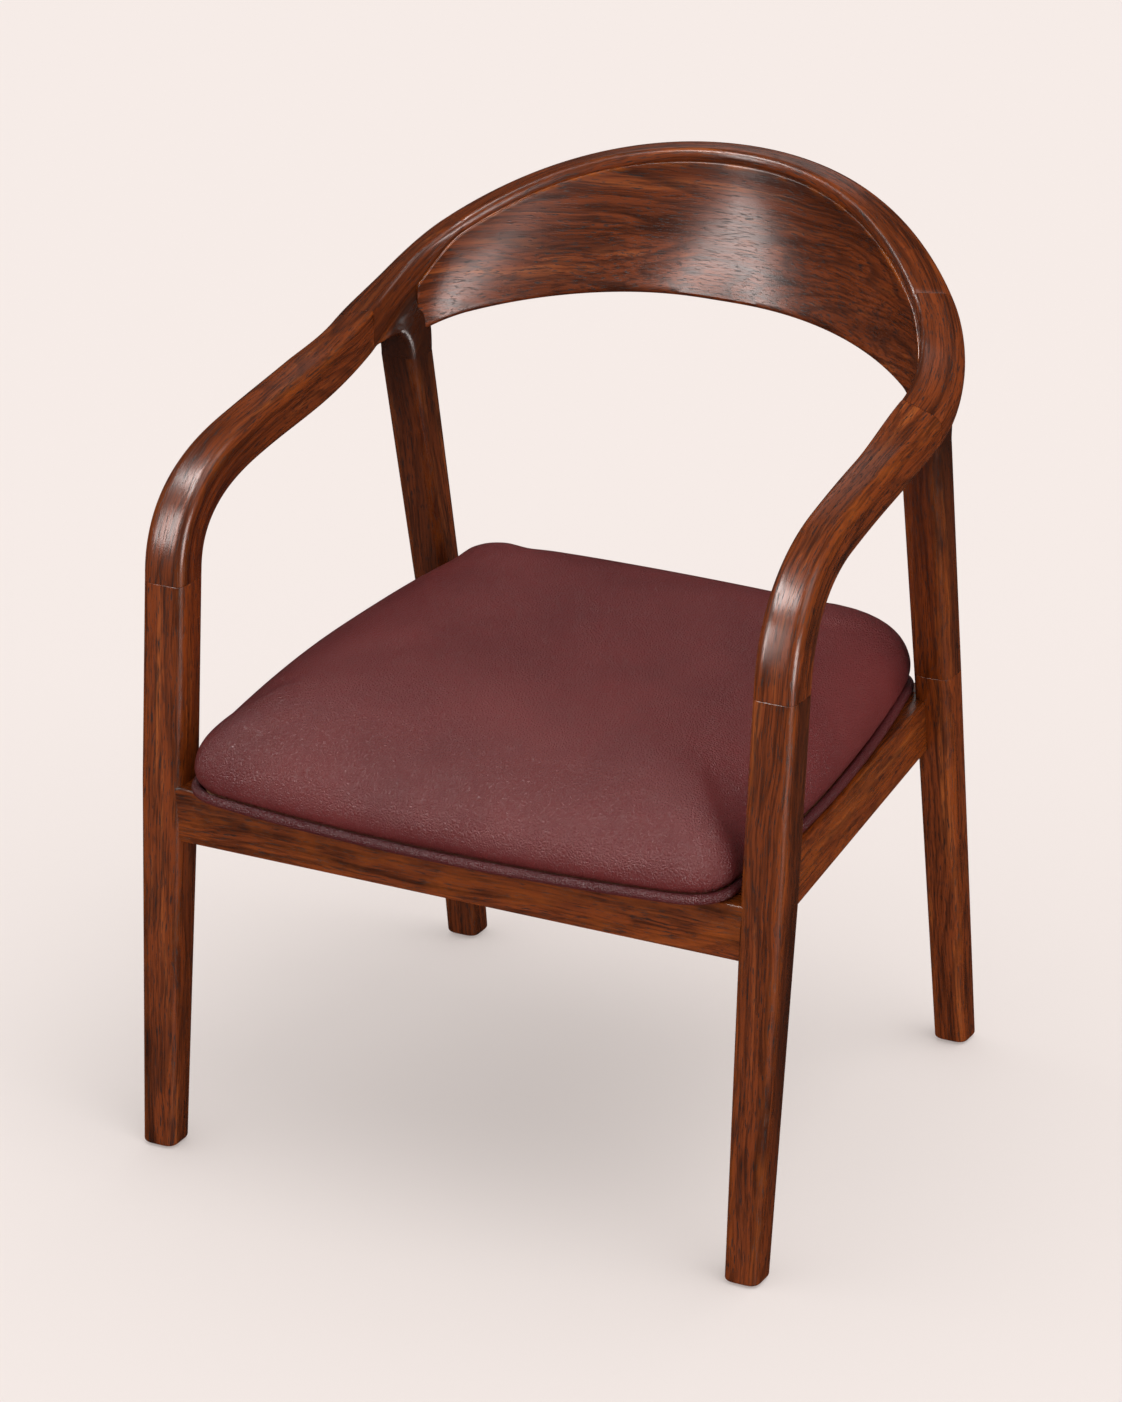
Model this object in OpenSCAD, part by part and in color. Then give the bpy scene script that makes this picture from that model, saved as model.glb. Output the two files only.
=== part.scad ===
// Restaurant armchair: a solid-wood frame whose arms flow from the front legs
// through a carved corner into a crest rail over a curved backrest panel, with an
// upholstered drop-on seat. Millimetres. X is the sitter's right-left axis, +Y is
// the back, +Z is up. The origin is on the floor under the middle of the chair.

/* [Stance] */
// Distance between the centres of the front feet
front_feet = 576; // [540:1:620]
// Distance between the centres of the rear feet
rear_feet = 512; // [500:1:530]
// Distance from the front feet back to the rear feet
feet_depth = 517; // [500:1:540]
// Amount that a front leg leans back over its height
front_lean = 45; // [30:1:55]
// Amount that a front leg leans outwards over its height
front_splay = 4; // [0:0.5:8]

/* [Legs] */
// Width of a front leg at the top
front_leg_w = 41; // [39:0.5:43]
// Width of a front leg at the foot
front_foot_w = 33; // [28:0.5:37]
// Width of a rear post at the top
rear_leg_w = 39; // [37:0.5:41]
// Width of a rear leg at the foot
rear_foot_w = 32.5; // [29:0.5:35]
// Width of a rear leg at the joint in its length
rear_seam_w = 36.5; // [35:0.5:38]
// Corner rounding of the legs at the top
leg_round = 11; // [6:0.5:14]
// Height of the bevel round each foot
foot_bevel = 3; // [2:0.5:5]
// Height of the joint between a front leg and its arm
arm_seam_z = 525; // [500:1:545]
// Height of the joint in each rear leg
rear_seam_z = 388; // [378:1:400]
// Drop of the joint over the rear post below the lower edge of the panel's end
head_drop = 20; // [12:1:30]
// Rake of the rear posts, in parts of their height
post_rake = 0.206; // [0.15:0.005:0.25]
// Inward lean of the rear posts, in parts of their height
post_lean = 0.016; // [0:0.002:0.03]

/* [Arms] */
// Distance between the centre lines of the two arms
arm_span = 558; // [545:1:580]
// Height of the arm's top where the elbow ends
elbow_top_z = 647; // [640:1:654]
// Horizontal reach of the elbow from the leg to the arm
elbow_reach = 115; // [106:1:122]
// Height of the arm's top at its rear joint
arm_rear_z = 677; // [665:1:690]
// Distance of the arm's rear joint behind the front feet
arm_joint_y = 349; // [343:1:363]
// Width of the arm halfway along
arm_w = 39; // [37:0.5:43]
// Thickness of the arm halfway along
arm_t = 41; // [36:0.5:44]
// Width of the arm at its rear joint
joint_w = 41; // [39:0.5:46]
// Thickness of the arm at its rear joint
joint_t = 38; // [36:0.5:42]

/* [Crest and backrest] */
// Distance between the two joints of the crest rail
crest_span = 474; // [450:1:490]
// Distance of the crest joints behind the front feet
crest_joint_y = 466; // [455:1:480]
// Height of the crest's top at its joints
crest_joint_z = 740; // [728:1:755]
// Height of the crest's top in the middle
crest_top_z = 807; // [795:1:820]
// Distance of the crest's centre line behind the front feet in the middle
crest_back_y = 580; // [565:1:595]
// Width of the crest rail in the middle
crest_w = 32; // [30:0.5:35]
// Thickness of the crest rail in the middle
crest_t = 25; // [23:0.5:28]
// Height of the backrest in the middle, from the top of the crest to the panel's lower edge
panel_h = 129; // [118:1:138]
// Depth of the panel below the rail at its ends
panel_end_h = 32.5; // [26:0.5:40]
// How far the panel's lower edge stands in front of the crest's centre line
panel_lean = 57; // [50:1:72]
// Thickness of the panel at its top
panel_top_t = 21; // [18:0.5:24]
// Thickness of the panel at its lower edge
panel_low_t = 13; // [11:0.5:16]
// Depth of the hollow in the face of the panel
panel_hollow = 6; // [2:0.5:9]

/* [Seat frame] */
// Height of the top of the seat rails at the front
frame_top = 344; // [335:1:355]
// Rise of the seat rails from the front to the rear
seat_rise = 20; // [0:1:24]
// Height of the seat rails
rail_h = 52; // [44:1:58]
// Thickness of the front and rear seat rails
rail_t = 22; // [18:0.5:25]
// Thickness of the side rails
side_rail_t = 27; // [24:0.5:29]
// Set-back of the front rail's face behind the front face of the legs
front_rail_inset = 3; // [1:0.5:5]
// Set-back of the side rail's face from the outer face of the front leg
side_inset_front = 31.6; // [26:0.2:36]
// Set-back of the side rail's face from the outer face of the rear leg
side_inset_rear = 24.4; // [20:0.2:28]
// Thickness of the tenons
tenon_t = 7; // [5:0.5:8]
// Length of the tenons
tenon_l = 17; // [12:0.5:18]
// Height of the tenons
tenon_h = 34; // [28:1:40]
// Height of the corner blocks
block_h = 30; // [24:1:36]
// Length of a corner block's legs along the rails
block_leg = 62; // [56:1:75]

/* [Seat] */
// Gap between the seat's front corners and the front legs
seat_front_gap = 4; // [2:0.5:10]
// Gap between the seat's rear corners and the rear legs
seat_rear_gap = 4; // [2:0.5:12]
// Outward bow of the seat's sides
seat_side_bow = 12; // [0:0.5:14]
// Distance of the seat's front edge ahead of the front feet, at the corners
seat_front_y = 6; // [0:1:12]
// Distance of the seat's rear edge behind the front feet
seat_rear_y = 482; // [470:1:490]
// Bow of the seat's front edge
seat_bow = 22; // [0:1:26]
// Rounding of the seat's front corners
seat_front_round = 46; // [36:1:60]
// Rounding of the seat's rear corners
seat_rear_round = 55; // [40:1:80]
// Thickness of the seat board
board_t = 12; // [10:0.5:15]
// Height of the cushion's crown above the seat rails
cushion_h = 101; // [90:1:108]
// Height of the cushion's widest line above the seat rails
cushion_wide_h = 27; // [20:1:34]
// Bulge of the cushion's sides over its board
cushion_bulge = 5; // [3:0.5:7]
// Thickness of the leather
leather_t = 1.4; // [1:0.1:2]
// Diameter of the piping
piping_d = 11; // [8:0.5:12]

/* [Fixings] */
// Diameter of the large dowels
dowel_d = 10; // [8:0.5:11]
// Diameter of the small dowels
small_dowel_d = 8; // [6:0.5:8]
// Depth of a dowel in each piece
dowel_depth = 22; // [18:1:26]
// Diameter of the screws' shanks
screw_d = 4.5; // [4:0.5:5]
// Diameter of the screws' heads
screw_head_d = 8.5; // [8:0.5:10]
// Diameter of the glides under the feet
glide_d = 19; // [15:0.5:21]
// Thickness of the glides
glide_t = 2; // [1.5:0.5:4]

/* [Hidden] */

$fn = 48;

// Clearance round a dowel, tenon or screw in its hole
fit = 0.1;
// Glue line between two curved faces
seam = 0.15;
// Depth by which a cutting solid passes the face that it cuts
past = 1;

// Colours
oak_front = [0.40, 0.20, 0.11];
oak_arm = [0.46, 0.24, 0.14];
oak_back = [0.36, 0.18, 0.10];
oak_pale = [0.78, 0.62, 0.42];
steel = [0.62, 0.62, 0.64];
leather = [0.42, 0.20, 0.21];
foam = [0.90, 0.87, 0.76];
black = [0.12, 0.12, 0.12];

// Vector helpers
function unit(v) = v / norm(v);
function mix(a, b, t) = a + (b - a) * t;
function clamp(t) = min(1, max(0, t));
function bezier(c, t) =
    c[0] * pow(1 - t, 3) + c[1] * 3 * t * pow(1 - t, 2)
    + c[2] * 3 * t * t * (1 - t) + c[3] * pow(t, 3);
function bezier_slope(c, t) =
    (c[1] - c[0]) * 3 * pow(1 - t, 2)
    + (c[2] - c[1]) * 6 * t * (1 - t) + (c[3] - c[2]) * 3 * t * t;

// A closed outline with its corners rounded: at each corner the points follow a
// parabola that leaves each side at the cut distance from the corner.
function rounded(corners, cuts, steps) = [
    for (i = [0 : len(corners) - 1])
        let (
            n = len(corners),
            c = corners[i],
            a = c + unit(corners[(i + n - 1) % n] - c) * cuts[i],
            b = c + unit(corners[(i + 1) % n] - c) * cuts[i]
        )
        for (k = [0 : steps])
            let (t = k / steps)
            a * pow(1 - t, 2) + c * 2 * t * (1 - t) + b * t * t
];

// A solid through a row of rings that have the same number of points.
// The rings turn anticlockwise seen from the last ring's side.
module skin(rings, closed = false) {
    n = len(rings[0]);
    m = len(rings);
    last = closed ? m - 1 : m - 2;
    walls = [
        for (i = [0 : last], j = [0 : n - 1])
            let (
                a = i * n + j,
                b = i * n + (j + 1) % n,
                c = ((i + 1) % m) * n + (j + 1) % n,
                d = ((i + 1) % m) * n + j
            )
            each [[a, c, b], [a, d, c]]
    ];
    first_cap = [for (j = [0 : n - 1]) j];
    last_cap = [for (j = [n - 1 : -1 : 0]) (m - 1) * n + j];
    polyhedron(
        points = [for (r = rings) each r],
        faces = closed ? walls : concat(walls, [first_cap, last_cap])
    );
}

// A rod along a line, centred on a point, turned a little about its own axis so
// that its seam keeps clear of the corners of the faces that it meets
seam_turn = 20;
module rod(centre, direction, length, diameter) {
    d = unit(direction);
    tilt = acos(d[2]);
    turn = atan2(d[1], d[0]);
    translate(centre)
        rotate([0, tilt, turn])
            rotate([0, 0, seam_turn])
                cylinder(d = diameter, h = length, center = true);
}

// Plan position: everything is drawn from the line of the front feet, then moved
// back so that the origin is under the middle of the chair.
front_edge_y = -seat_front_y - seat_bow;
back_edge_y = crest_back_y + crest_w / 2;
middle_y = (front_edge_y + back_edge_y) / 2;
module placed() {
    translate([0, -middle_y, 0]) children();
}
module left_side() {
    mirror([1, 0, 0]) children();
}
module both_sides() {
    children();
    left_side() children();
}

// Front legs: straight, tapered, leaning back
leg_axis = unit([front_splay, front_lean, arm_seam_z]);
function front_leg_centre(z) = [
    front_feet / 2 + front_splay * z / arm_seam_z, front_lean * z / arm_seam_z, z
];
function front_leg_size(z) = mix(front_foot_w, front_leg_w, clamp(z / frame_top));
foot_round_share = 0.26;
function corner_cut(size, top_size) = mix(foot_round_share * size, leg_round, clamp(size / top_size));
function square_ring(c, size, cut) = [
    for (p = rounded(
        [[-1, -1], [1, -1], [1, 1], [-1, 1]] * (size / 2), [cut, cut, cut, cut], 4
    ))
        [c[0] + p[0], c[1] + p[1], c[2]]
];
function front_leg_ring(z, grow) =
    square_ring(front_leg_centre(z), front_leg_size(z) + 2 * grow,
        corner_cut(front_leg_size(z), front_leg_w));
function foot_ring(centre, size) =
    square_ring(centre, size - 2 * foot_bevel, size * foot_round_share);

module front_leg_blank(grow = 0) {
    skin([
        foot_ring(front_leg_centre(glide_t), front_leg_size(glide_t)),
        for (z = [glide_t + foot_bevel, frame_top / 2, frame_top, arm_seam_z])
            front_leg_ring(z, grow)
    ]);
}

// Rear legs: the lower leg rakes back to the foot, and the post above the joint
// rakes further, up to the carved corner.
function rear_low_centre(z) = mix(
    [rear_feet / 2, feet_depth, 0], rear_seam_centre, z / rear_seam_z
);
function rear_post_centre(z) = mix(
    rear_seam_centre, post_top_centre, (z - rear_seam_z) / (head_seam_z - rear_seam_z)
);
function rear_leg_size(z) =
    z < rear_seam_z ? mix(rear_foot_w, rear_seam_w, z / rear_seam_z)
    : mix(rear_seam_w, rear_leg_w, (z - rear_seam_z) / (head_seam_z - rear_seam_z));
function rear_ring(c, z, grow = 0) =
    square_ring([c[0], c[1], z], rear_leg_size(z) + 2 * grow,
        corner_cut(rear_leg_size(z), rear_leg_w));

// Centre line of the arm and crest, as one chain of curves for the right-hand side.
// Parameter 0 to 1 is the elbow, 1 to 2 the arm, 2 to 3 the carved corner and
// 3 to 4 the crest rail up to the middle of the chair.
leg_top = front_leg_centre(arm_seam_z);
elbow_end = [arm_span / 2 + 3, leg_top[1] + elbow_reach, elbow_top_z - arm_t / 2];
arm_end = [arm_span / 2, arm_joint_y, arm_rear_z - joint_t / 2];
crest_joint_t = 26;
crest_joint_w = 39;
crest_joint = [crest_span / 2, crest_joint_y, crest_joint_z - crest_joint_t / 2];
crest_middle = [0, crest_back_y, crest_top_z - crest_t / 2];
elbow_start_way = leg_axis;
elbow_end_way = unit([-0.05, 1, 0.17]);
arm_end_way = unit([0.04, 1, 0.266]);
crest_joint_way = unit([-0.7, 0.714, 0.542]);
straight_above_leg = 8;
rail_curves = [
    [
        leg_top + elbow_start_way * straight_above_leg,
        leg_top + elbow_start_way * (straight_above_leg + 0.63 * elbow_reach),
        elbow_end - elbow_end_way * 0.32 * elbow_reach,
        elbow_end
    ],
    [
        elbow_end,
        elbow_end + elbow_end_way * (arm_joint_y - elbow_end[1]) * 0.35,
        arm_end - arm_end_way * (arm_joint_y - elbow_end[1]) * 0.37,
        arm_end
    ],
    [
        arm_end,
        arm_end + arm_end_way * norm(crest_joint - arm_end) * 0.332,
        crest_joint - crest_joint_way * norm(crest_joint - arm_end) * 0.332,
        crest_joint
    ],
    [
        crest_joint,
        crest_joint + crest_joint_way * norm(crest_middle - crest_joint) * 0.418,
        crest_middle + [norm(crest_middle - crest_joint) * 0.302, 0, 0],
        crest_middle
    ]
];
function rail_piece(g) = min(3, floor(g));
function rail_point(g) = bezier(rail_curves[rail_piece(g)], g - rail_piece(g));
function rail_way(g) = unit(bezier_slope(rail_curves[rail_piece(g)], g - rail_piece(g)));
// Outward level direction across the rail, and the rail's own up direction
function level_out(g) = let (w = rail_way(g)) unit([w[1], -w[0], 0]);
function rail_out(g) = g < 1 ? unit(mix([1, 0, 0], level_out(g), g * g)) : level_out(g);
function rail_up(g) =
    g < 1 ? cross(rail_out(g), rail_way(g))
    : unit(mix(cross(rail_out(g), rail_way(g)), [0, 0, 1], clamp(g - 1)));

// Values along the rail, given at named stations and blended between them
stations = [0, 1, 1.5, 2, 2.5, 3, 4];
widths = [front_leg_w, arm_w, arm_w, joint_w, mix(joint_w, crest_joint_w, 0.6), crest_joint_w, crest_w];
depths = [front_leg_w, arm_t, arm_t, joint_t, mix(joint_t, crest_joint_t, 0.5), crest_joint_t, crest_t];
// Rise of the inner top edge, and fall of the outer one
tilts = [0, 0, -0.3, 6.4, 9, 2.5, 0];
// Height of the step that leaves only a lip above the panel's face
lips = [0, 0, 0, 1, 8, 14.5, 10.5];
// Cuts of the four corners: inner upper, outer upper, outer lower, inner lower
soft_cuts = [
    [leg_round, leg_round, leg_round, leg_round],
    [11, 12, 15, 12],
    [9, 11, 16, 10],
    [6, 10, 17, 9],
    [5, 10, 14, 7],
    [4.5, 10, 11, 6],
    [4.5, 9, 9, 6]
];
function span_of(g, i = 0) = (i >= len(stations) - 2 || g <= stations[i + 1]) ? i : span_of(g, i + 1);
function along(values, g) =
    let (
        i = span_of(g),
        t = (g - stations[i]) / (stations[i + 1] - stations[i]),
        s = t * t * (3 - 2 * t)
    )
    mix(values[i], values[i + 1], s);

// One cross-section of the rail
section_steps = 4;
function rail_section(g) =
    let (w = along(widths, g) / 2, h = along(depths, g) / 2, rise = along(tilts, g))
    rounded([[-w, h + rise], [w, h - rise], [w, -h], [-w, along(lips, g) - h]],
        along(soft_cuts, g), section_steps);
function rail_ring(g) =
    let (p = rail_point(g), o = rail_out(g), u = rail_up(g))
    [for (q = rail_section(g)) p + o * q[0] + u * q[1]];
// The ring where the arm stands on the front leg
leg_top_ring = front_leg_ring(arm_seam_z, 0);

function rail_lower(g) = rail_point(g)[2] - along(depths, g) / 2;
// Height of the rail's underside at a distance outward from its centre line
function underside(g, across) =
    rail_lower(g) + along(lips, g) * (0.5 - across / along(widths, g));

// Backrest panel: at each station a vertical section, hollow on its face and
// thinner at its lower edge. Parameter as for the rail, from the panel's end joint
// at 2.5 to the middle at 4.
panel_end_g = 2.56;
panel_low_z = crest_top_z - panel_h;
panel_end_z = rail_lower(panel_end_g) - panel_end_h;
head_seam_z = panel_end_z - head_drop;
panel_recess = 1.5;
function panel_share(g) = clamp((4 - g) / (4 - panel_end_g));
// Share of the way from the panel's end toward the arm, along the web
function web_share(g) = clamp((panel_end_g - g) / (panel_end_g - 2));
function toward_arm(g) = pow(web_share(g), 2);
// The web starts this far inside the rail, where it leaves the arm
web_bury = 6;
panel_end_reach = 26.5;
function panel_low_s(g) = mix(
    -panel_end_reach - (panel_lean - panel_end_reach) * pow(1 - panel_share(g), 1.6),
    -along(widths, g) / 2 + panel_recess,
    toward_arm(g)
);
function web_depth(g) =
    mix(rail_lower(panel_end_g) - panel_end_z, -web_bury, 1 - pow(1 - web_share(g), 1.5));
function panel_low_height(g) =
    g < panel_end_g ? rail_lower(g) - web_depth(g)
    : panel_low_z - (panel_low_z - panel_end_z) * pow(panel_share(g), 2);
panel_steps = 5;
// Where the web or the rebate runs up into the rail, its front slants back this far
lift_slant = 7;
// Stations shared by the corner and the panel, so that their facets lie together
panel_end_steps = 4;
panel_end_stations =
    [for (k = [0 : panel_end_steps]) mix(panel_end_g, 3, k / panel_end_steps)];
function panel_section(g, lift, behind, ahead) =
    let (
        top_s = -along(widths, g) / 2 + panel_recess,
        up = lift * toward_arm(g) - seam,
        top_z = underside(g, top_s) + up,
        rear_top_z = underside(g, top_s + panel_top_t) + up,
        low_s = panel_low_s(g),
        low_z = panel_low_height(g) - behind,
        hollow = panel_hollow * (1 - 0.6 * panel_share(g)) * (1 - toward_arm(g)),
        mid_s = mix(top_s, low_s, 0.5) + 2 * hollow,
        mid_z = mix(top_z, low_z, 0.5),
        r = min(panel_low_t * 0.3, (rear_top_z - low_z) * 0.4)
    )
    concat(
        lift > 0 ? [[top_s + panel_top_t + behind, rear_top_z - up + lift]] : [],
        [for (k = [0 : panel_steps])
            let (t = k / panel_steps, b = 1 - t, th = mix(panel_top_t, panel_low_t, t) + behind)
            [top_s * b * b + mid_s * 2 * t * b + low_s * t * t + th,
             rear_top_z * b * b + mid_z * 2 * t * b + (low_z + r) * t * t]],
        [[low_s + panel_low_t + behind - r, low_z], [low_s + r - ahead, low_z]],
        [for (k = [panel_steps : -1 : 0])
            let (t = k / panel_steps, b = 1 - t)
            [top_s * b * b + mid_s * 2 * t * b + low_s * t * t - ahead,
             top_z * b * b + mid_z * 2 * t * b + (low_z + r) * t * t]],
        lift > 0 ? [[top_s + lift_slant - ahead, top_z - up + lift]] : []
    );
function panel_ring(g, lift = 0, behind = 0, ahead = 0) =
    let (p = rail_point(g), o = rail_out(g))
    [for (q = panel_section(g, lift, behind, ahead)) [p[0] + o[0] * q[0], p[1] + o[1] * q[0], q[1]]];

// Rear post: its axis meets the carved corner a little inside the rail's centre line
post_g = 2.5;
post_inset = 12.4;
post_meet = rail_point(post_g) - rail_out(post_g) * post_inset;
post_top_centre = [post_meet[0], post_meet[1], head_seam_z];
rear_seam_centre =
    post_top_centre + [-post_lean, post_rake, -1] * (head_seam_z - rear_seam_z);

module rear_leg_blank(grow = 0) {
    skin([
        foot_ring(rear_low_centre(glide_t), rear_leg_size(glide_t)),
        for (z = [glide_t + foot_bevel, rear_seam_z / 2, rear_seam_z])
            rear_ring(rear_low_centre(z), z, grow)
    ]);
}

// Dowels: each is given by its centre, direction, length and diameter
function pair_across(centre, way, across, spread, d) = [
    for (s = [-1, 1]) [centre + across * s * spread, way, 2 * dowel_depth, d]
];
arm_leg_rods = pair_across(leg_top, leg_axis, [1, 0, 0], front_leg_w / 5, dowel_d);
arm_corner_rods = pair_across(rail_point(2), rail_way(2), rail_out(2), joint_w / 5, dowel_d);
crest_dowel_shift = 6;
crest_dowel_rise = 3;
crest_end_rods = pair_across(
    rail_point(3) + rail_out(3) * crest_dowel_shift + [0, 0, crest_dowel_rise],
    rail_way(3), rail_out(3), crest_joint_w / 6, small_dowel_d
);
post_rods = concat(
    pair_across(post_top_centre, rear_post_centre(head_seam_z) - rear_post_centre(rear_seam_z),
        [1, 0, 0], rear_leg_w / 5, small_dowel_d),
    pair_across(rear_seam_centre, [0, -post_rake, 1], [1, 0, 0], rear_leg_w / 5, small_dowel_d)
);
// Two level dowels from the carved corner into the panel's end
function panel_mid_point(g, share) =
    let (
        p = rail_point(g), o = rail_out(g),
        low_s = panel_low_s(g), top_s = -along(widths, g) / 2 + panel_recess,
        s = mix(low_s, top_s, share) + mix(panel_low_t, panel_top_t, share) / 2 + 1
    )
    [p[0] + o[0] * s, p[1] + o[1] * s, mix(panel_low_height(g), rail_lower(g), share)];
level_way = unit([rail_way(panel_end_g)[0], rail_way(panel_end_g)[1], 0]);
panel_end_rods = [
    for (share = [0.5])
        [panel_mid_point(panel_end_g, share), level_way, 2 * dowel_depth - 8, small_dowel_d]
];
// Upright dowels between the crest rail and the panel
crest_panel_stations = [3.35, 3.75];
crest_panel_rods = [
    for (g = crest_panel_stations)
        let (p = rail_point(g), o = rail_out(g),
             s = -along(widths, g) / 2 + panel_recess + panel_top_t / 2)
        [[p[0] + o[0] * s, p[1] + o[1] * s, rail_lower(g)], [0, 0, 1], 28, small_dowel_d]
];
module rods(list, extra = 0) {
    for (r = list) rod(r[0], r[1], r[2] - (extra > 0 ? 0 : 2), r[3] + 2 * extra);
}

// Seat frame geometry
rail_mid_z = frame_top - rail_h / 2;
rear_rail_mid_z = rail_mid_z + seat_rise;
front_face_y = front_leg_centre(rail_mid_z)[1] - front_leg_size(rail_mid_z) / 2;
front_rail_y = front_face_y + front_rail_inset;
front_rail_back = front_rail_y + rail_t;
rear_leg_at_rail = rear_low_centre(rear_rail_mid_z);
rear_rail_back = rear_leg_at_rail[1] + rail_t / 2;
rear_rail_y = rear_rail_back - rail_t;
side_run = rear_rail_y - front_rail_back;
side_front_x = front_leg_centre(rail_mid_z)[0] + front_leg_size(rail_mid_z) / 2 - side_inset_front;
side_rear_x = rear_leg_at_rail[0] + rear_leg_size(rear_rail_mid_z) / 2 - side_inset_rear;
side_angle = atan2(side_front_x - side_rear_x, side_run);
seat_pitch = atan2(seat_rise, side_run);
function rails_top(y) = frame_top + (y - front_rail_back) * seat_rise / side_run;
front_tenon_y = front_rail_y + rail_t / 2 - 3;

module front_rail_tenons(extra = 0) {
    inner = front_leg_centre(rail_mid_z)[0] - front_leg_size(rail_mid_z) / 2;
    translate([0, front_tenon_y, rail_mid_z])
        cube([2 * (inner + tenon_l + extra), tenon_t + 2 * extra, tenon_h + 2 * extra], center = true);
}
module rear_rail_tenons(extra = 0) {
    inner = rear_leg_at_rail[0] - rear_leg_size(rear_rail_mid_z) / 2;
    translate([0, rear_rail_y + rail_t / 2 + 3, rear_rail_mid_z])
        cube([2 * (inner + tenon_l + extra), tenon_t + 2 * extra, tenon_h + 2 * extra], center = true);
}
side_across = side_rail_t / cos(side_angle);
side_way = [-sin(side_angle), cos(side_angle), 0];
side_normal = [cos(side_angle), sin(side_angle), 0];
side_tenon_inset = 1.5;
side_tenon_share = 0.7;
module side_tenon(end, low_z, extra) {
    deep = tenon_l * side_tenon_share;
    translate([side_front_x, front_rail_back, low_z])
        rotate([0, 0, side_angle])
            translate([-side_tenon_inset - tenon_t - extra, end - deep - extra, -extra])
                cube([tenon_t + 2 * extra, 2 * (deep + extra), tenon_h + 2 * extra]);
}
module side_rail_tenons(extra = 0) {
    front_end = front_leg_centre(rail_mid_z)[1] + front_leg_size(rail_mid_z) / 2;
    rear_end = rear_leg_at_rail[1] - rear_leg_size(rear_rail_mid_z) / 2;
    side_tenon(front_end - front_rail_back, rails_top(front_end) - rail_h / 2 - tenon_h / 2, extra);
    side_tenon(
        (rear_end - front_rail_back) / cos(side_angle),
        rails_top(rear_end) - rail_h / 2 - tenon_h / 2, extra
    );
}

// Sub-parts of the frame, right-hand versions
module front_leg_right() {
    color(oak_front) placed() difference() {
        front_leg_blank();
        front_rail_tenons(fit);
        side_rail_tenons(fit);
        rods(arm_leg_rods, fit);
        glide_pin(front_leg_centre(glide_t), fit);
    }
}
module front_leg_left() { left_side() front_leg_right(); }

module rear_leg_right() {
    color(oak_front) placed() difference() {
        rear_leg_blank();
        rear_rail_tenons(fit);
        side_rail_tenons(fit);
        rods(post_rods, fit);
        glide_pin(rear_low_centre(glide_t), fit);
    }
}
module rear_leg_left() { left_side() rear_leg_right(); }

module rear_post_right() {
    color(oak_front) placed() difference() {
        skin([for (z = [rear_seam_z, mix(rear_seam_z, head_seam_z, 0.5), head_seam_z])
            rear_ring(rear_post_centre(z), z)]);
        rods(post_rods, fit);
    }
}
module rear_post_left() { left_side() rear_post_right(); }

module arm_right() {
    color(oak_arm) placed() difference() {
        skin(concat(
            [leg_top_ring],
            [for (k = [0 : 12]) rail_ring(k / 12)],
            [for (k = [1 : 8]) rail_ring(1 + k / 8)]
        ));
        rods(arm_leg_rods, fit);
        rods(arm_corner_rods, fit);
    }
}
module arm_left() { left_side() arm_right(); }

// The carved corner: a length of rail, the web that carries on the panel's face,
// and the head that flares out of the rear post.
web_steps = 5;
web_start_g = 2.06;
web_lift = 10;
head_steps = 6;
head_flare = 2.2;
head_rise = 6;
head_cut = 8;
// Corners of the head's top, outward and along the rail from the rail's centre line
head_top = [[-14, -30], [9, -30], [14, 22], [-14, 22]];
module post_head() {
    half = rear_leg_w / 2;
    centre = rail_point(post_g);
    out = rail_out(post_g);
    way = [-out[1], out[0]];
    slope = rail_way(post_g)[2] / norm([rail_way(post_g)[0], rail_way(post_g)[1]]);
    low = [for (q = [[-1, -1], [1, -1], [1, 1], [-1, 1]])
        [post_top_centre[0] + q[0] * half, post_top_centre[1] + q[1] * half]];
    high = [for (q = head_top)
        [centre[0] + out[0] * q[0] + way[0] * q[1], centre[1] + out[1] * q[0] + way[1] * q[1]]];
    skin([for (k = [0 : head_steps])
        let (
            t = k / head_steps,
            cut = mix(leg_round, head_cut, t),
            plan = rounded(
                mix(low, high, pow(t, head_flare)), [cut, cut, cut, cut], section_steps
            )
        )
        [for (q = plan)
            [q[0], q[1], mix(head_seam_z,
                rail_lower(post_g) + head_rise
                    + slope * ([q[0] - centre[0], q[1] - centre[1]] * way), t)]]
    ]);
}
// Room for the end of the panel, which sits in a rebate in the head. It starts a
// hair before the web's end, so that the web stands proud into it.
room_start = 0.0025;
module panel_room() {
    skin([for (g = panel_end_stations)
        panel_ring(g - (g > panel_end_g ? 0 : room_start), web_lift + past, seam, rear_leg_w)]);
}
module rear_corner_right() {
    color(oak_back) placed() difference() {
        union() {
            skin(concat(
                [for (k = [0 : web_steps]) rail_ring(mix(2, panel_end_g, k / web_steps))],
                [for (g = panel_end_stations) if (g > panel_end_g) rail_ring(g)]
            ));
            skin([for (k = [0 : web_steps])
                panel_ring(mix(web_start_g, panel_end_g, k / web_steps), web_lift)]);
            difference() {
                post_head();
                panel_room();
            }
        }
        rods(arm_corner_rods, fit);
        rods(crest_end_rods, fit);
        rods(panel_end_rods, fit);
        rods(post_rods, fit);
    }
}
module rear_corner_left() { left_side() rear_corner_right(); }

crest_steps = 14;
module crest_rail() {
    color(oak_arm) placed() difference() {
        both_sides() skin([for (k = [0 : crest_steps]) rail_ring(3 + k / crest_steps)]);
        both_sides() {
            rods(crest_end_rods, fit);
            rods(crest_panel_rods, fit);
        }
    }
}
module back_panel() {
    color(oak_back) placed() difference() {
        both_sides() skin(concat(
            [for (g = panel_end_stations) panel_ring(g)],
            [for (k = [1 : crest_steps]) panel_ring(3 + k / crest_steps)]
        ));
        both_sides() {
            rods(panel_end_rods, fit);
            rods(crest_panel_rods, fit);
        }
    }
}

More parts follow.
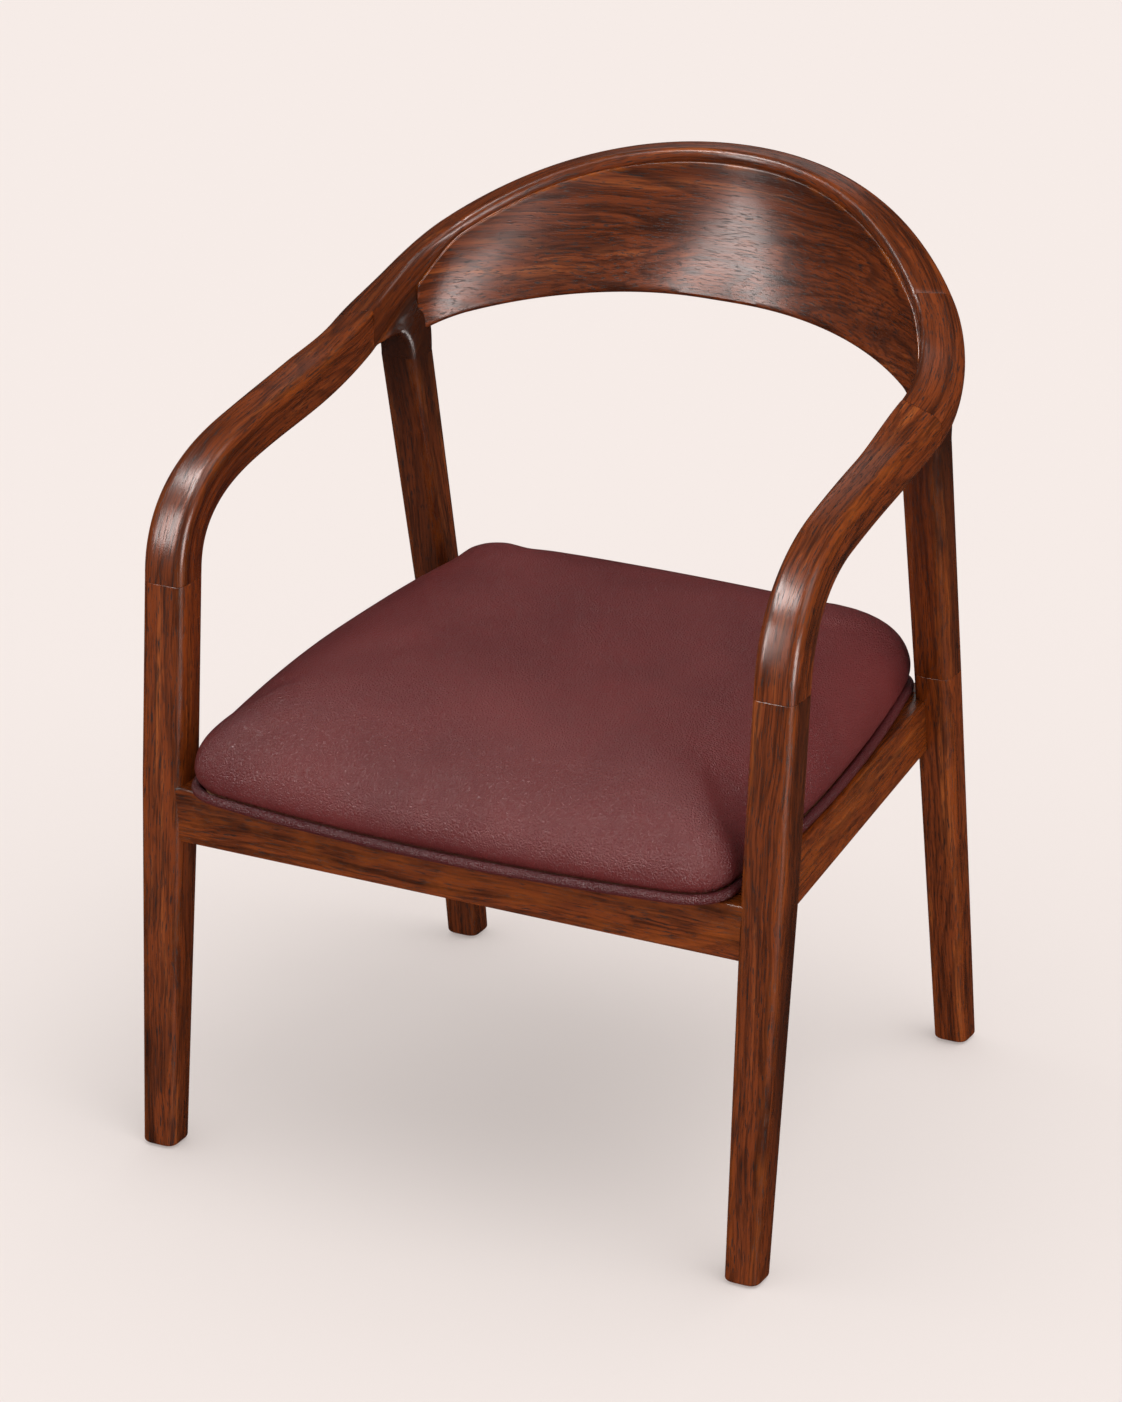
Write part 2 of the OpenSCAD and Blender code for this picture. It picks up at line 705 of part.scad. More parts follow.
// Seat rails: edges eased, ends scribed round the legs
rail_ease = 2;
ease_steps = 3;
function eased(corners) = rounded(
    corners, [rail_ease, rail_ease, rail_ease, rail_ease], ease_steps
);
module cross_rail_blank(half_length, y, low) {
    translate([-half_length, 0, 0])
        rotate([90, 0, 90])
            linear_extrude(2 * half_length)
                polygon(eased([[y, low], [y + rail_t, low], [y + rail_t, rails_top(y + rail_t)], [y, rails_top(y)]]));
}
module front_rail() {
    color(oak_front) placed() difference() {
        union() {
            difference() {
                cross_rail_blank(front_feet / 2, front_rail_y, frame_top - rail_h);
                both_sides() front_leg_blank(fit);
            }
            front_rail_tenons();
        }
        both_sides() drive(cross_screw(front_corner), fit);
    }
}
module rear_rail() {
    color(oak_front) placed() difference() {
        union() {
            difference() {
                cross_rail_blank(rear_leg_at_rail[0], rear_rail_y, frame_top - rail_h + seat_rise);
                both_sides() rear_leg_blank(fit);
            }
            rear_rail_tenons();
        }
        both_sides() drive(cross_screw(rear_corner), fit);
        both_sides() side_rail_tenons(fit);
    }
}
function side_rail_ring(x, y) =
    let (low = rails_top(y) - rail_h)
    [for (p = eased([[x - side_across, low], [x, low], [x, low + rail_h], [x - side_across, low + rail_h]]))
        [p[0], y, p[1]]];
module side_rail_right() {
    color(oak_front) placed() {
        difference() {
            skin([side_rail_ring(side_rear_x, rear_rail_y), side_rail_ring(side_front_x, front_rail_back)]);
            front_leg_blank(fit);
            rear_leg_blank(fit);
            for (s = side_screws) drive(s, fit);
        }
        side_rail_tenons();
    }
}
module side_rail_left() { left_side() side_rail_right(); }

// Corner blocks. Each corner is given by its inner point, the direction along the
// cross rail, the direction into the cross rail, and the direction along the side rail.
block_drop = 5;
front_corner = [
    [side_front_x - side_across, front_rail_back, frame_top - block_drop - block_h],
    [-1, 0, 0], [0, -1, 0], side_way
];
rear_corner = [
    [side_rear_x - side_across, rear_rail_y, frame_top + seat_rise - block_drop - block_h],
    [-1, 0, 0], [0, 1, 0], -side_way
];
block_tip = 7;
block_screw_share = 0.62;
screw_rise = 7;
screw_under_head = 13;
screw_in_rail = 14;
screw_head_t = 3;
function block_outline(c) = [
    c[0], c[0] + c[1] * block_leg, c[0] + c[1] * block_leg - c[2] * block_tip,
    c[0] + c[3] * block_leg - side_normal * block_tip, c[0] + c[3] * block_leg
];
// A screw is given by the point under its head, its direction and its length
function cross_screw(c) = [
    c[0] + c[1] * block_leg * block_screw_share - c[2] * screw_under_head
        + [0, 0, block_h / 2 + screw_rise],
    c[2], screw_under_head + screw_in_rail
];
function side_screw(c) = [
    c[0] + c[3] * block_leg * block_screw_share - side_normal * screw_under_head
        + [0, 0, block_h / 2 - screw_rise],
    side_normal, screw_under_head + screw_in_rail
];
seat_screw_share = 0.36;
seat_screw_in_board = 8;
function seat_screw(c) =
    let (at = c[0] + (c[1] + c[3]) * block_leg * seat_screw_share)
    [at, [0, 0, 1], rails_top(at[1]) + leather_t + seat_screw_in_board - at[2]];
side_screws = [side_screw(front_corner), side_screw(rear_corner)];
corner_list = [front_corner, rear_corner];
// Cuts for a screw: its hole, and room for the head and driver behind it
driver_room = 40;
module drive(s, extra = 0) {
    rod(s[0] + s[1] * s[2] / 2, s[1], s[2] + 2 * extra, screw_d + 2 * extra);
}
module head_room(s) {
    rod(s[0] - s[1] * driver_room / 2, s[1], driver_room, screw_head_d + 1);
}
module screw(s) {
    rod(s[0] + s[1] * (s[2] - screw_head_t / 2) / 2, s[1], s[2] + screw_head_t / 2, screw_d);
    rod(s[0] - s[1] * screw_head_t / 2, s[1], screw_head_t, screw_head_d);
}
module corner_block(c) {
    color(oak_pale) placed() difference() {
        translate([0, 0, c[0][2]])
            linear_extrude(block_h)
                polygon([for (p = block_outline(c)) [p[0], p[1]]]);
        drive(cross_screw(c), fit);
        head_room(cross_screw(c));
        drive(side_screw(c), fit);
        head_room(side_screw(c));
        drive(seat_screw(c), fit);
    }
}
module corner_block_front_right() { corner_block(front_corner); }
module corner_block_front_left() { left_side() corner_block_front_right(); }
module corner_block_rear_right() { corner_block(rear_corner); }
module corner_block_rear_left() { left_side() corner_block_rear_right(); }

// The seat is drawn level and then set on the slope of the rails
module seated() {
    placed()
        translate([0, front_rail_back, frame_top])
            rotate([seat_pitch, 0, 0])
                translate([0, -front_rail_back, -frame_top])
                    children();
}

// Seat outline in plan, across the piping, then inset by a given amount
board_bottom = frame_top + leather_t;
board_top = board_bottom + board_t;
seat_corner_steps = 4;
seat_edge_steps = 5;
function bowed(a, b, bow, steps) = [
    for (k = [1 : steps - 1])
        let (t = k / steps, d = unit(b - a))
        a + (b - a) * t + [d[1], -d[0]] * bow * 4 * t * (1 - t)
];
function curve(a, c, b, steps) = [
    for (k = [0 : steps])
        let (t = k / steps)
        a * pow(1 - t, 2) + c * 2 * t * (1 - t) + b * t * t
];
seat_front_x = front_leg_centre(frame_top)[0] - front_leg_size(frame_top) / 2 - seat_front_gap;
rear_top = frame_top + seat_rise;
seat_rear_x = rear_low_centre(rear_top)[0] - rear_leg_size(rear_top) / 2 - seat_rear_gap;
seat_fr = [seat_front_x, -seat_front_y];
seat_rr = [seat_rear_x, seat_rear_y];
seat_side_unit = unit(seat_rr - seat_fr);
front_bow_slope = unit([1, 2 * seat_bow / seat_front_x]);
fr_a = seat_fr - front_bow_slope * seat_front_round;
fr_b = seat_fr + seat_side_unit * seat_front_round;
rr_a = seat_rr - seat_side_unit * seat_rear_round;
rr_b = seat_rr - [seat_rear_round, 0];
function front_edge(x) = -seat_front_y - seat_bow * (1 - pow(x / seat_front_x, 2));
seat_half = concat(
    [for (k = [0 : seat_edge_steps])
        let (x = k / seat_edge_steps * fr_a[0]) [x, front_edge(x)]],
    curve([fr_a[0], front_edge(fr_a[0])], seat_fr, fr_b, seat_corner_steps),
    bowed(fr_b, rr_a, seat_side_bow, seat_edge_steps),
    curve(rr_a, seat_rr, rr_b, seat_corner_steps),
    [[rr_b[0] / 2, seat_rear_y], [0, seat_rear_y]]
);
function near(a, b) = norm(a - b) < 0.01;
seat_right = [for (i = [0 : len(seat_half) - 1]) if (i == 0 || !near(seat_half[i], seat_half[i - 1])) seat_half[i]];
seat_outline = concat(
    seat_right,
    [for (i = [len(seat_right) - 2 : -1 : 1]) [-seat_right[i][0], seat_right[i][1]]]
);
seat_n = len(seat_outline);
function seat_normal(i) =
    let (d = unit(seat_outline[(i + 1) % seat_n] - seat_outline[(i + seat_n - 1) % seat_n]))
    [d[1], -d[0]];
function seat_inset(i, inset) = seat_outline[i] - seat_normal(i) * inset;
module seat_plate(inset, low, high) {
    translate([0, 0, low])
        linear_extrude(high - low)
            polygon([for (i = [0 : seat_n - 1]) seat_inset(i, inset)]);
}

// Cushion: near the edge the rings are inset from the outline, and over the crown
// they shrink toward the middle.
cushion_centre = [0, 0.5 * seat_rear_y];
wide_z = frame_top + cushion_wide_h;
crown_steps = 7;
last_angle = 84;
fullness = 0.3;
crown_fall = 6;
function crown_ring(angle, inset, drop) = [
    for (i = [0 : seat_n - 1])
        let (
            p = seat_inset(i, inset),
            f = pow(cos(angle), fullness),
            q = cushion_centre + (p - cushion_centre) * f
        )
        [q[0], q[1], wide_z + (cushion_h - (wide_z - frame_top) - drop) * sin(angle)
            - crown_fall * pow(clamp(1 - q[1] / cushion_centre[1]), 2) * sin(angle)]
];
function level_ring(inset, z) = [
    for (i = [0 : seat_n - 1]) let (q = seat_inset(i, inset)) [q[0], q[1], z]
];
piping_z = frame_top + piping_d / 2 + 0.5;
channel = piping_d + 0.6;
side_in = piping_d / 2 - cushion_bulge;
soft_gap = 0.3;
// Outer face of the leather from under the board up to the crown
function skin_rings(t) = concat(
    [
        level_ring(channel + t, board_bottom + (t > 0 ? 0 : -leather_t)),
        level_ring(channel + t, piping_z + 1),
        level_ring(channel - 2.6 + t, piping_z + piping_d / 2 + 0.2),
        level_ring(mix(channel, side_in, 0.62) + t, piping_z + piping_d / 2 + 2.2),
        level_ring(mix(channel, side_in, 0.9) + t, piping_z + piping_d / 2 + 8)
    ],
    [for (k = [0 : crown_steps]) crown_ring(last_angle * k / crown_steps, side_in + t, t)]
);
function backward(list) = [for (i = [len(list) - 1 : -1 : 0]) list[i]];
flap = 24;
module seat_cover() {
    color(leather) seated()
        skin(concat(
            backward(skin_rings(leather_t)),
            [level_ring(flap, board_bottom), level_ring(flap, frame_top)],
            skin_rings(0)
        ));
}
module seat_foam() {
    inner = leather_t + soft_gap;
    color(foam) seated()
        skin(concat(
            [level_ring(channel + inner, board_top)],
            [for (r = skin_rings(inner)) if (r[0][2] > board_top) r]
        ));
}
module seat_board() {
    color(oak_pale) difference() {
        seated() seat_plate(channel + leather_t + soft_gap, board_bottom, board_top);
        placed() seat_screw_cuts(fit);
    }
}
module seat_screw_cuts(extra) {
    for (c = corner_list) both_sides() drive(seat_screw(c), extra);
}
dust_t = 0.8;
module dust_cover() {
    color(black) difference() {
        seated() seat_plate(flap + soft_gap, board_bottom - dust_t, board_bottom);
        placed() seat_screw_cuts(1);
    }
}
piping_sides = 8;
module seat_piping() {
    color(leather) seated()
        skin([
            for (i = [0 : seat_n - 1])
                let (n = seat_normal(i), c = seat_inset(i, piping_d / 2))
                [for (k = [0 : piping_sides - 1])
                    let (a = 360 * k / piping_sides, r = piping_d / 2)
                    [c[0] + n[0] * r * cos(a), c[1] + n[1] * r * cos(a), piping_z + r * sin(a)]]
        ], closed = true);
}

// Glides with a nail, under the feet
nail_d = 3.5;
nail_l = 16;
module glide_pin(foot, extra = 0) {
    translate([foot[0], foot[1], glide_t - past])
        cylinder(d = nail_d + 2 * extra, h = nail_l + past + extra);
}
module glide(foot) {
    color(black) placed() {
        translate([foot[0], foot[1], 0]) cylinder(d = glide_d, h = glide_t);
        glide_pin(foot);
    }
}
module glide_front_right() { glide(front_leg_centre(glide_t)); }
module glide_front_left() { left_side() glide_front_right(); }
module glide_rear_right() { glide(rear_low_centre(glide_t)); }
module glide_rear_left() { left_side() glide_rear_right(); }

// Dowels and screws, each kind in one group
module both(list) {
    color(oak_pale) placed() both_sides() rods(list);
}
module arm_leg_dowels() { both(arm_leg_rods); }
module arm_corner_dowels() { both(arm_corner_rods); }
module crest_end_dowels() { both(crest_end_rods); }
module crest_panel_dowels() { both(crest_panel_rods); }
module panel_end_dowels() { both(panel_end_rods); }
module post_dowels() { both(post_rods); }
module block_screws() {
    color(steel) placed()
        for (c = corner_list, s = [cross_screw(c), side_screw(c)]) both_sides() screw(s);
}
module seat_screws() {
    color(steel) placed()
        for (c = corner_list) both_sides() screw(seat_screw(c));
}

front_leg_left();
front_leg_right();
rear_leg_left();
rear_leg_right();
rear_post_left();
rear_post_right();
arm_left();
arm_right();
rear_corner_left();
rear_corner_right();
crest_rail();
back_panel();
front_rail();
rear_rail();
side_rail_left();
side_rail_right();
corner_block_front_left();
corner_block_front_right();
corner_block_rear_left();
corner_block_rear_right();
seat_board();
seat_foam();
seat_cover();
seat_piping();
dust_cover();
glide_front_left();
glide_front_right();
glide_rear_left();
glide_rear_right();
arm_leg_dowels();
arm_corner_dowels();
crest_end_dowels();
crest_panel_dowels();
panel_end_dowels();
post_dowels();
block_screws();
seat_screws();
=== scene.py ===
import math

import bmesh
import bpy
import numpy as np
from mathutils import Matrix, Vector


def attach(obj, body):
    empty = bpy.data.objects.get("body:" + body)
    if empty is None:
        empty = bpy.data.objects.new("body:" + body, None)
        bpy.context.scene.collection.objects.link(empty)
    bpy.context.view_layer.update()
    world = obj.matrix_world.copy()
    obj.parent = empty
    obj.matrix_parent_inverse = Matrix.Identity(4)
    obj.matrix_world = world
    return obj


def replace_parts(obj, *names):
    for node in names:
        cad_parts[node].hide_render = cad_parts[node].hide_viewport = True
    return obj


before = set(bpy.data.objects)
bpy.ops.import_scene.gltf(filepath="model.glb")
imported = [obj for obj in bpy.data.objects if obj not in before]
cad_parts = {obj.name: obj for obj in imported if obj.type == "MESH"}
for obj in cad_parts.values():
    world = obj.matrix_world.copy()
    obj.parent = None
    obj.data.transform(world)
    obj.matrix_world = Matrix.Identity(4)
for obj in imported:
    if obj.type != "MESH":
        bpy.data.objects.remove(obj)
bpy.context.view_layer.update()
scene = bpy.context.scene
MM = 0.001

# Camera
camera = bpy.data.cameras.new("photo_view")
camera.sensor_width = 36
camera.lens = 152.84
camera_object = bpy.data.objects.new("photo_view", camera)
scene.collection.objects.link(camera_object)
camera_object.location = (2.2016, -4.3672, 2.4201)
camera_object.rotation_euler = (
    Vector((-0.4207, 0.8211, -0.3857)).to_track_quat("-Z", "Y").to_euler()
)
scene.camera = camera_object

# The CAD's own sizes, in mm
front_feet, rear_feet, feet_depth = 576, 512, 517
front_lean, front_splay = 45, 4
front_leg_w, front_foot_w = 41, 33
rear_leg_w, rear_foot_w, rear_seam_w = 39, 32.5, 36.5
leg_round, foot_bevel, foot_round_share = 11, 3, 0.26
arm_seam_z, rear_seam_z = 525, 388
post_rake, post_lean = 0.206, 0.016
arm_span, elbow_top_z, elbow_reach = 558, 647, 115
arm_rear_z, arm_joint_y, arm_w, arm_t, joint_w, joint_t = 677, 349, 39, 41, 41, 38
crest_span, crest_joint_y, crest_joint_z = 474, 466, 740
crest_top_z, crest_back_y, crest_w, crest_t = 807, 580, 32, 25
crest_joint_w, crest_joint_t = 39, 26
panel_h, panel_end_h, head_drop, panel_lean = 129, 32.5, 20, 57
panel_top_t, panel_low_t, panel_hollow = 21, 13, 6
panel_end_g, panel_recess, panel_end_reach, web_bury = 2.56, 1.5, 26.5, 6
frame_top, seat_rise, rail_h, rail_t = 344, 20, 52, 22
front_rail_inset = 3
seat_front_gap, seat_rear_gap, seat_side_bow = 4, 4, 12
seat_front_y, seat_rear_y, seat_bow = 6, 482, 22
seat_front_round = 46
cushion_h, cushion_wide_h, cushion_bulge, leather_t, piping_d = 101, 27, 5, 1.4, 11
glide_t = 2
middle_y = (crest_back_y + crest_w / 2 - seat_front_y - seat_bow) / 2

# Sizes of the scene alone, in mm
# The panel's face: how far it stands off the rim (inward is negative), how far it laps
# over the rim's lower edge, and the radius of its top edge
FACE_PROUD, FACE_LAP, FACE_ROUND = -1.5, 2.5, 1.7
# How much fuller the panel's back is, and the points of the ledge and the strength of the
# highlight painted along it
REAR_FULL, LEDGE_POINTS, LEDGE_HIGHLIGHT = 0.8, 7, 3.0
# How far the edges at a joint are eased, and how fine the carved corner's mesh is
JOINT_EASE, VOXEL = 0.45, 1.3
# The seat's rear corners are tighter here than in the CAD, which has 55
seat_rear_round = 40
# The cushion: how much further out than in the CAD its sides are drawn, how much lower
# its widest line lies, and how square its crown is at the front, sides and back
OVERHANG, WIDE_DROP = 3.0, 5
FRONT_POWER, SIDE_POWER, REAR_POWER = 2.7, 5.0, 6.5
# The piping is thinner here than in the CAD, where its radius is 5.5
CORD_R, CORD_LIFT, CORD_SIDES = 4.6, 0.6, 20
DUST_INSET, DUST_DEPTH, CLOTH_SAG = 24.3, 0.4, 2.0


# Vectors and curves
def unit(v):
    v = np.asarray(v, float)
    return v / np.linalg.norm(v)


def mix(a, b, t):
    return a + (b - a) * t


def clamp(t):
    return min(1.0, max(0.0, t))


def bezier(c, t):
    b = 1 - t
    return c[0] * b**3 + c[1] * 3 * t * b * b + c[2] * 3 * t * t * b + c[3] * t**3


def bezier_slope(c, t):
    b = 1 - t
    return (c[1] - c[0]) * 3 * b * b + (c[2] - c[1]) * 6 * t * b + (c[3] - c[2]) * 3 * t * t


def rounded(corners, cuts, steps):
    """The outline with its corners rounded, and for each point how near the corner it is."""
    points, edge = [], []
    n = len(corners)
    corners = [np.asarray(c, float) for c in corners]
    for i, c in enumerate(corners):
        a = c + unit(corners[i - 1] - c) * cuts[i]
        b = c + unit(corners[(i + 1) % n] - c) * cuts[i]
        for k in range(steps + 1):
            t = k / steps
            points.append(a * (1 - t) ** 2 + c * 2 * t * (1 - t) + b * t * t)
            edge.append(math.sin(math.pi * t))
    return np.array(points), np.array(edge)


STEPS = 8
leg_axis = unit([front_splay, front_lean, arm_seam_z])


def front_leg_centre(z):
    return np.array([
        front_feet / 2 + front_splay * z / arm_seam_z, front_lean * z / arm_seam_z, z
    ])


def front_leg_size(z):
    return mix(front_foot_w, front_leg_w, clamp(z / frame_top))


def corner_cut(size, top_size):
    return mix(foot_round_share * size, leg_round, clamp(size / top_size))


def square_ring(c, size, cut):
    flat, _ = rounded(
        np.array([[-1, -1], [1, -1], [1, 1], [-1, 1]]) * size / 2, [cut] * 4, STEPS
    )
    return np.array([[c[0] + p[0], c[1] + p[1], c[2]] for p in flat])


leg_top = front_leg_centre(arm_seam_z)
straight_above_leg = 8.0
elbow_end = np.array([arm_span / 2 + 3, leg_top[1] + elbow_reach, elbow_top_z - arm_t / 2])
arm_end = np.array([arm_span / 2, arm_joint_y, arm_rear_z - joint_t / 2])
crest_joint = np.array([crest_span / 2, crest_joint_y, crest_joint_z - crest_joint_t / 2])
crest_middle = np.array([0, crest_back_y, crest_top_z - crest_t / 2])
elbow_end_way = unit([-0.05, 1, 0.17])
arm_end_way = unit([0.04, 1, 0.266])
crest_joint_way = unit([-0.7, 0.714, 0.542])
arm_run = arm_joint_y - elbow_end[1]
corner_run = np.linalg.norm(crest_joint - arm_end)
crest_run = np.linalg.norm(crest_middle - crest_joint)
rail_curves = [
    [leg_top + leg_axis * straight_above_leg,
     leg_top + leg_axis * (straight_above_leg + 0.63 * elbow_reach),
     elbow_end - elbow_end_way * 0.32 * elbow_reach, elbow_end],
    [elbow_end, elbow_end + elbow_end_way * arm_run * 0.35,
     arm_end - arm_end_way * arm_run * 0.37, arm_end],
    [arm_end, arm_end + arm_end_way * corner_run * 0.332,
     crest_joint - crest_joint_way * corner_run * 0.332, crest_joint],
    [crest_joint, crest_joint + crest_joint_way * crest_run * 0.418,
     crest_middle + np.array([crest_run * 0.302, 0, 0]), crest_middle],
]


def rail_point(g):
    k = min(3, int(g))
    return bezier(rail_curves[k], g - k)


def rail_way(g):
    k = min(3, int(g))
    return unit(bezier_slope(rail_curves[k], g - k))


def rail_out(g):
    w = rail_way(g)
    level = unit([w[1], -w[0], 0])
    return unit(mix(np.array([1.0, 0, 0]), level, g * g)) if g < 1 else level


def rail_up(g):
    up = np.cross(rail_out(g), rail_way(g))
    return up if g < 1 else unit(mix(up, np.array([0, 0, 1.0]), clamp(g - 1)))


stations = [0, 1, 1.5, 2, 2.5, 3, 4]
widths = [front_leg_w, arm_w, arm_w, joint_w, mix(joint_w, crest_joint_w, 0.6),
          crest_joint_w, crest_w]
depths = [front_leg_w, arm_t, arm_t, joint_t, mix(joint_t, crest_joint_t, 0.5),
          crest_joint_t, crest_t]
# Rise of the inner top edge, and fall of the outer one
tilts = [0, 0, -0.3, 6.4, 9, 2.5, 0]
# Height of the step that leaves only a lip above the panel's face
lips = [0, 0, 0, 1, 8, 14.5, 10.5]
# Cuts of the four corners: inner upper, outer upper, outer lower, inner lower. The inner
# upper ones of the last three stations are larger than in the CAD, and so is the outer
# upper one at the crest's middle.
soft_cuts = np.array([
    [leg_round] * 4, [11, 12, 15, 12], [9, 11, 16, 10], [6, 10, 17, 9],
    [8, 10, 14, 7], [7.8, 10, 11, 6], [7.8, 10, 9, 6],
])


def along(values, g):
    i = 0
    while i < len(stations) - 2 and g > stations[i + 1]:
        i += 1
    t = (g - stations[i]) / (stations[i + 1] - stations[i])
    return mix(values[i], values[i + 1], t * t * (3 - 2 * t))


def rail_section(g):
    w, h, rise = along(widths, g) / 2, along(depths, g) / 2, along(tilts, g)
    return rounded(
        [[-w, h + rise], [w, h - rise], [w, -h], [-w, along(lips, g) - h]],
        along(soft_cuts, g), STEPS,
    )


def rail_lower(g):
    return rail_point(g)[2] - along(depths, g) / 2


panel_low_z = crest_top_z - panel_h
panel_end_z = rail_lower(panel_end_g) - panel_end_h
head_seam_z = panel_end_z - head_drop


def underside(g, across):
    return rail_lower(g) + along(lips, g) * (0.5 - across / along(widths, g))


def web_share(g):
    return clamp((panel_end_g - g) / (panel_end_g - 2))


def panel_share(g):
    """0 at the panel's middle and 1 at its end, by length along the rail."""
    half = rail_length(4) - rail_length(panel_end_g)
    return clamp((rail_length(4) - rail_length(g)) / half)


def panel_low(g):
    """Outward place and height of the panel's, or the web's, lower front edge."""
    to_arm = web_share(g) ** 2
    share = (math.hypot(panel_share(g), 0.1) - 0.1) / (math.hypot(1, 0.1) - 0.1)
    s = mix(
        -panel_end_reach - (panel_lean - panel_end_reach) * (1 - share) ** 1.6,
        -along(widths, g) / 2 + panel_recess, to_arm,
    )
    if g < panel_end_g:
        depth = mix(rail_lower(panel_end_g) - panel_end_z, -web_bury,
                    1 - (1 - web_share(g)) ** 1.5)
        return s, rail_lower(g) - depth
    return s, panel_low_z - (panel_low_z - panel_end_z) * panel_share(g) ** 2


def panel_section(g, steps=14, lift=0.0, cover=0.0):
    """Vertical section of the panel or the web, from the back down and up the face.
    lift runs it up into the rail. With cover its face laps over the rail's lower edge
    and ends there in a narrow ledge."""
    top_s = -along(widths, g) / 2 + (FACE_PROUD if cover else panel_recess)
    up = lift * web_share(g) ** 2 - 0.15
    top_z, rear_z = underside(g, top_s) + up, underside(g, top_s + panel_top_t) + up
    if cover:
        top_z = underside(g, -along(widths, g) / 2) + cover
    low_s, low_z = panel_low(g)
    to_arm = web_share(g) ** 2
    hollow = panel_hollow * (1 - 0.6 * panel_share(g)) * (1 - to_arm)
    mid_s, mid_z = (top_s + low_s) / 2 + 2 * hollow, (top_z + low_z) / 2
    rear_s = -along(widths, g) / 2 + panel_recess
    rear_mid = (rear_s + low_s) / 2 + 2 * hollow + (REAR_FULL if cover else 0)
    r = min(panel_low_t * 0.3, (rear_z - low_z) * 0.4)
    points = []
    if cover:
        points.append([rear_s + 6, top_z - 0.6])
        points.append([rear_s + 6, rear_z + 1])
    if lift > 0:
        points.append([top_s + panel_top_t, rear_z - up + lift])
    for k in range(steps + 1):
        t = k / steps
        b = 1 - t
        thick = mix(panel_top_t, panel_low_t, t)
        points.append([rear_s * b * b + rear_mid * 2 * t * b + low_s * t * t + thick,
                       rear_z * b * b + mid_z * 2 * t * b + (low_z + r) * t * t])
    for k in range(1, 5):
        a = math.pi / 2 * k / 4
        points.append([low_s + panel_low_t - r * (1 - math.cos(a)),
                       low_z + r * (1 - math.sin(a))])
    for k in range(4):
        a = math.pi / 2 * k / 4
        points.append([low_s + r * (1 - math.sin(a)),
                       low_z + r * (1 - math.cos(a))])
    for k in range(steps, -1, -1):
        t = k / steps
        b = 1 - t
        points.append([top_s * b * b + mid_s * 2 * t * b + low_s * t * t,
                       top_z * b * b + mid_z * 2 * t * b + (low_z + r) * t * t])
    if cover:
        points[-1][1] -= FACE_ROUND
        for a in np.linspace(0, math.pi / 2, LEDGE_POINTS)[1:]:
            points.append([top_s + FACE_ROUND * (1 - math.cos(a)),
                           top_z - FACE_ROUND * (1 - math.sin(a))])
    if lift > 0:
        points.append([top_s + 7, top_z - up + lift])
    return np.array(points)


def on_rail(g, section, level=False):
    """Points of a section, set on the rail's centre line."""
    p, o = rail_point(g), rail_out(g)
    if level:
        return np.array([[p[0] + o[0] * s, p[1] + o[1] * s, z] for s, z in section])
    u = rail_up(g)
    return np.array([p + o * s + u * z for s, z in section])


# Arc length of the rail, for the run of the grain
rail_g = np.linspace(0, 4, 801)
rail_p = np.array([rail_point(g) for g in rail_g])
rail_l = np.concatenate([[0], np.cumsum(np.linalg.norm(np.diff(rail_p, axis=0), axis=1))])


def rail_length(g):
    return float(np.interp(g, rail_g, rail_l))


# Rear post, which meets the rail in the middle of the carved corner
post_g, post_inset = 2.5, 12.4
post_meet = rail_point(post_g) - rail_out(post_g) * post_inset
post_top = np.array([post_meet[0], post_meet[1], head_seam_z])
rear_seam = post_top + np.array([-post_lean, post_rake, -1]) * (head_seam_z - rear_seam_z)


def rear_low_centre(z):
    return mix(np.array([rear_feet / 2, feet_depth, 0.0]), rear_seam, z / rear_seam_z)


def rear_post_centre(z):
    return mix(rear_seam, post_top, (z - rear_seam_z) / (head_seam_z - rear_seam_z))


def rear_leg_size(z):
    if z < rear_seam_z:
        return mix(rear_foot_w, rear_seam_w, z / rear_seam_z)
    return mix(rear_seam_w, rear_leg_w, (z - rear_seam_z) / (head_seam_z - rear_seam_z))


def rear_ring(c, z):
    size = rear_leg_size(z)
    return square_ring([c[0], c[1], z], size, corner_cut(size, rear_leg_w))


# Meshes
def make_piece(name, verts, faces, material, attributes=None, smooth=38):
    """A piece from points in mm measured from the line of the front feet."""
    verts = np.asarray(verts, float) - np.array([0, middle_y, 0])
    mesh = bpy.data.meshes.new(name)
    mesh.from_pydata((verts * MM).tolist(), [], faces)
    for key, values in (attributes or {}).items():
        values = np.asarray(values, np.float32)
        kind = "FLOAT_VECTOR" if values.ndim == 2 else "FLOAT"
        field = "vector" if values.ndim == 2 else "value"
        mesh.attributes.new(key, kind, "POINT").data.foreach_set(field, values.ravel())
    mesh.validate()
    mesh.materials.append(material)
    mesh.polygons.foreach_set("use_smooth", [True] * len(mesh.polygons))
    if smooth < 180:
        mesh.set_sharp_from_angle(angle=math.radians(smooth))
    mesh.update()
    obj = bpy.data.objects.new(name, mesh)
    scene.collection.objects.link(obj)
    return obj


def ring_faces(rows, count, caps=True, closed=False):
    faces = []
    for i in range(rows if closed else rows - 1):
        for j in range(count):
            a, b = i * count + j, i * count + (j + 1) % count
            c, d = ((i + 1) % rows) * count + (j + 1) % count, ((i + 1) % rows) * count + j
            faces.append((a, b, c, d))
    if caps and not closed:
        faces.append(tuple(range(count - 1, -1, -1)))
        faces.append(tuple((rows - 1) * count + j for j in range(count)))
    return faces


def drawn_in(ring, by):
    """The ring moved inward by a hair, for the eased edge of a joint."""
    c = ring.mean(0)
    d = c - ring
    return ring + d / np.linalg.norm(d, axis=1)[:, None] * by


def flip(points):
    return points * np.array([-1, 1, 1])


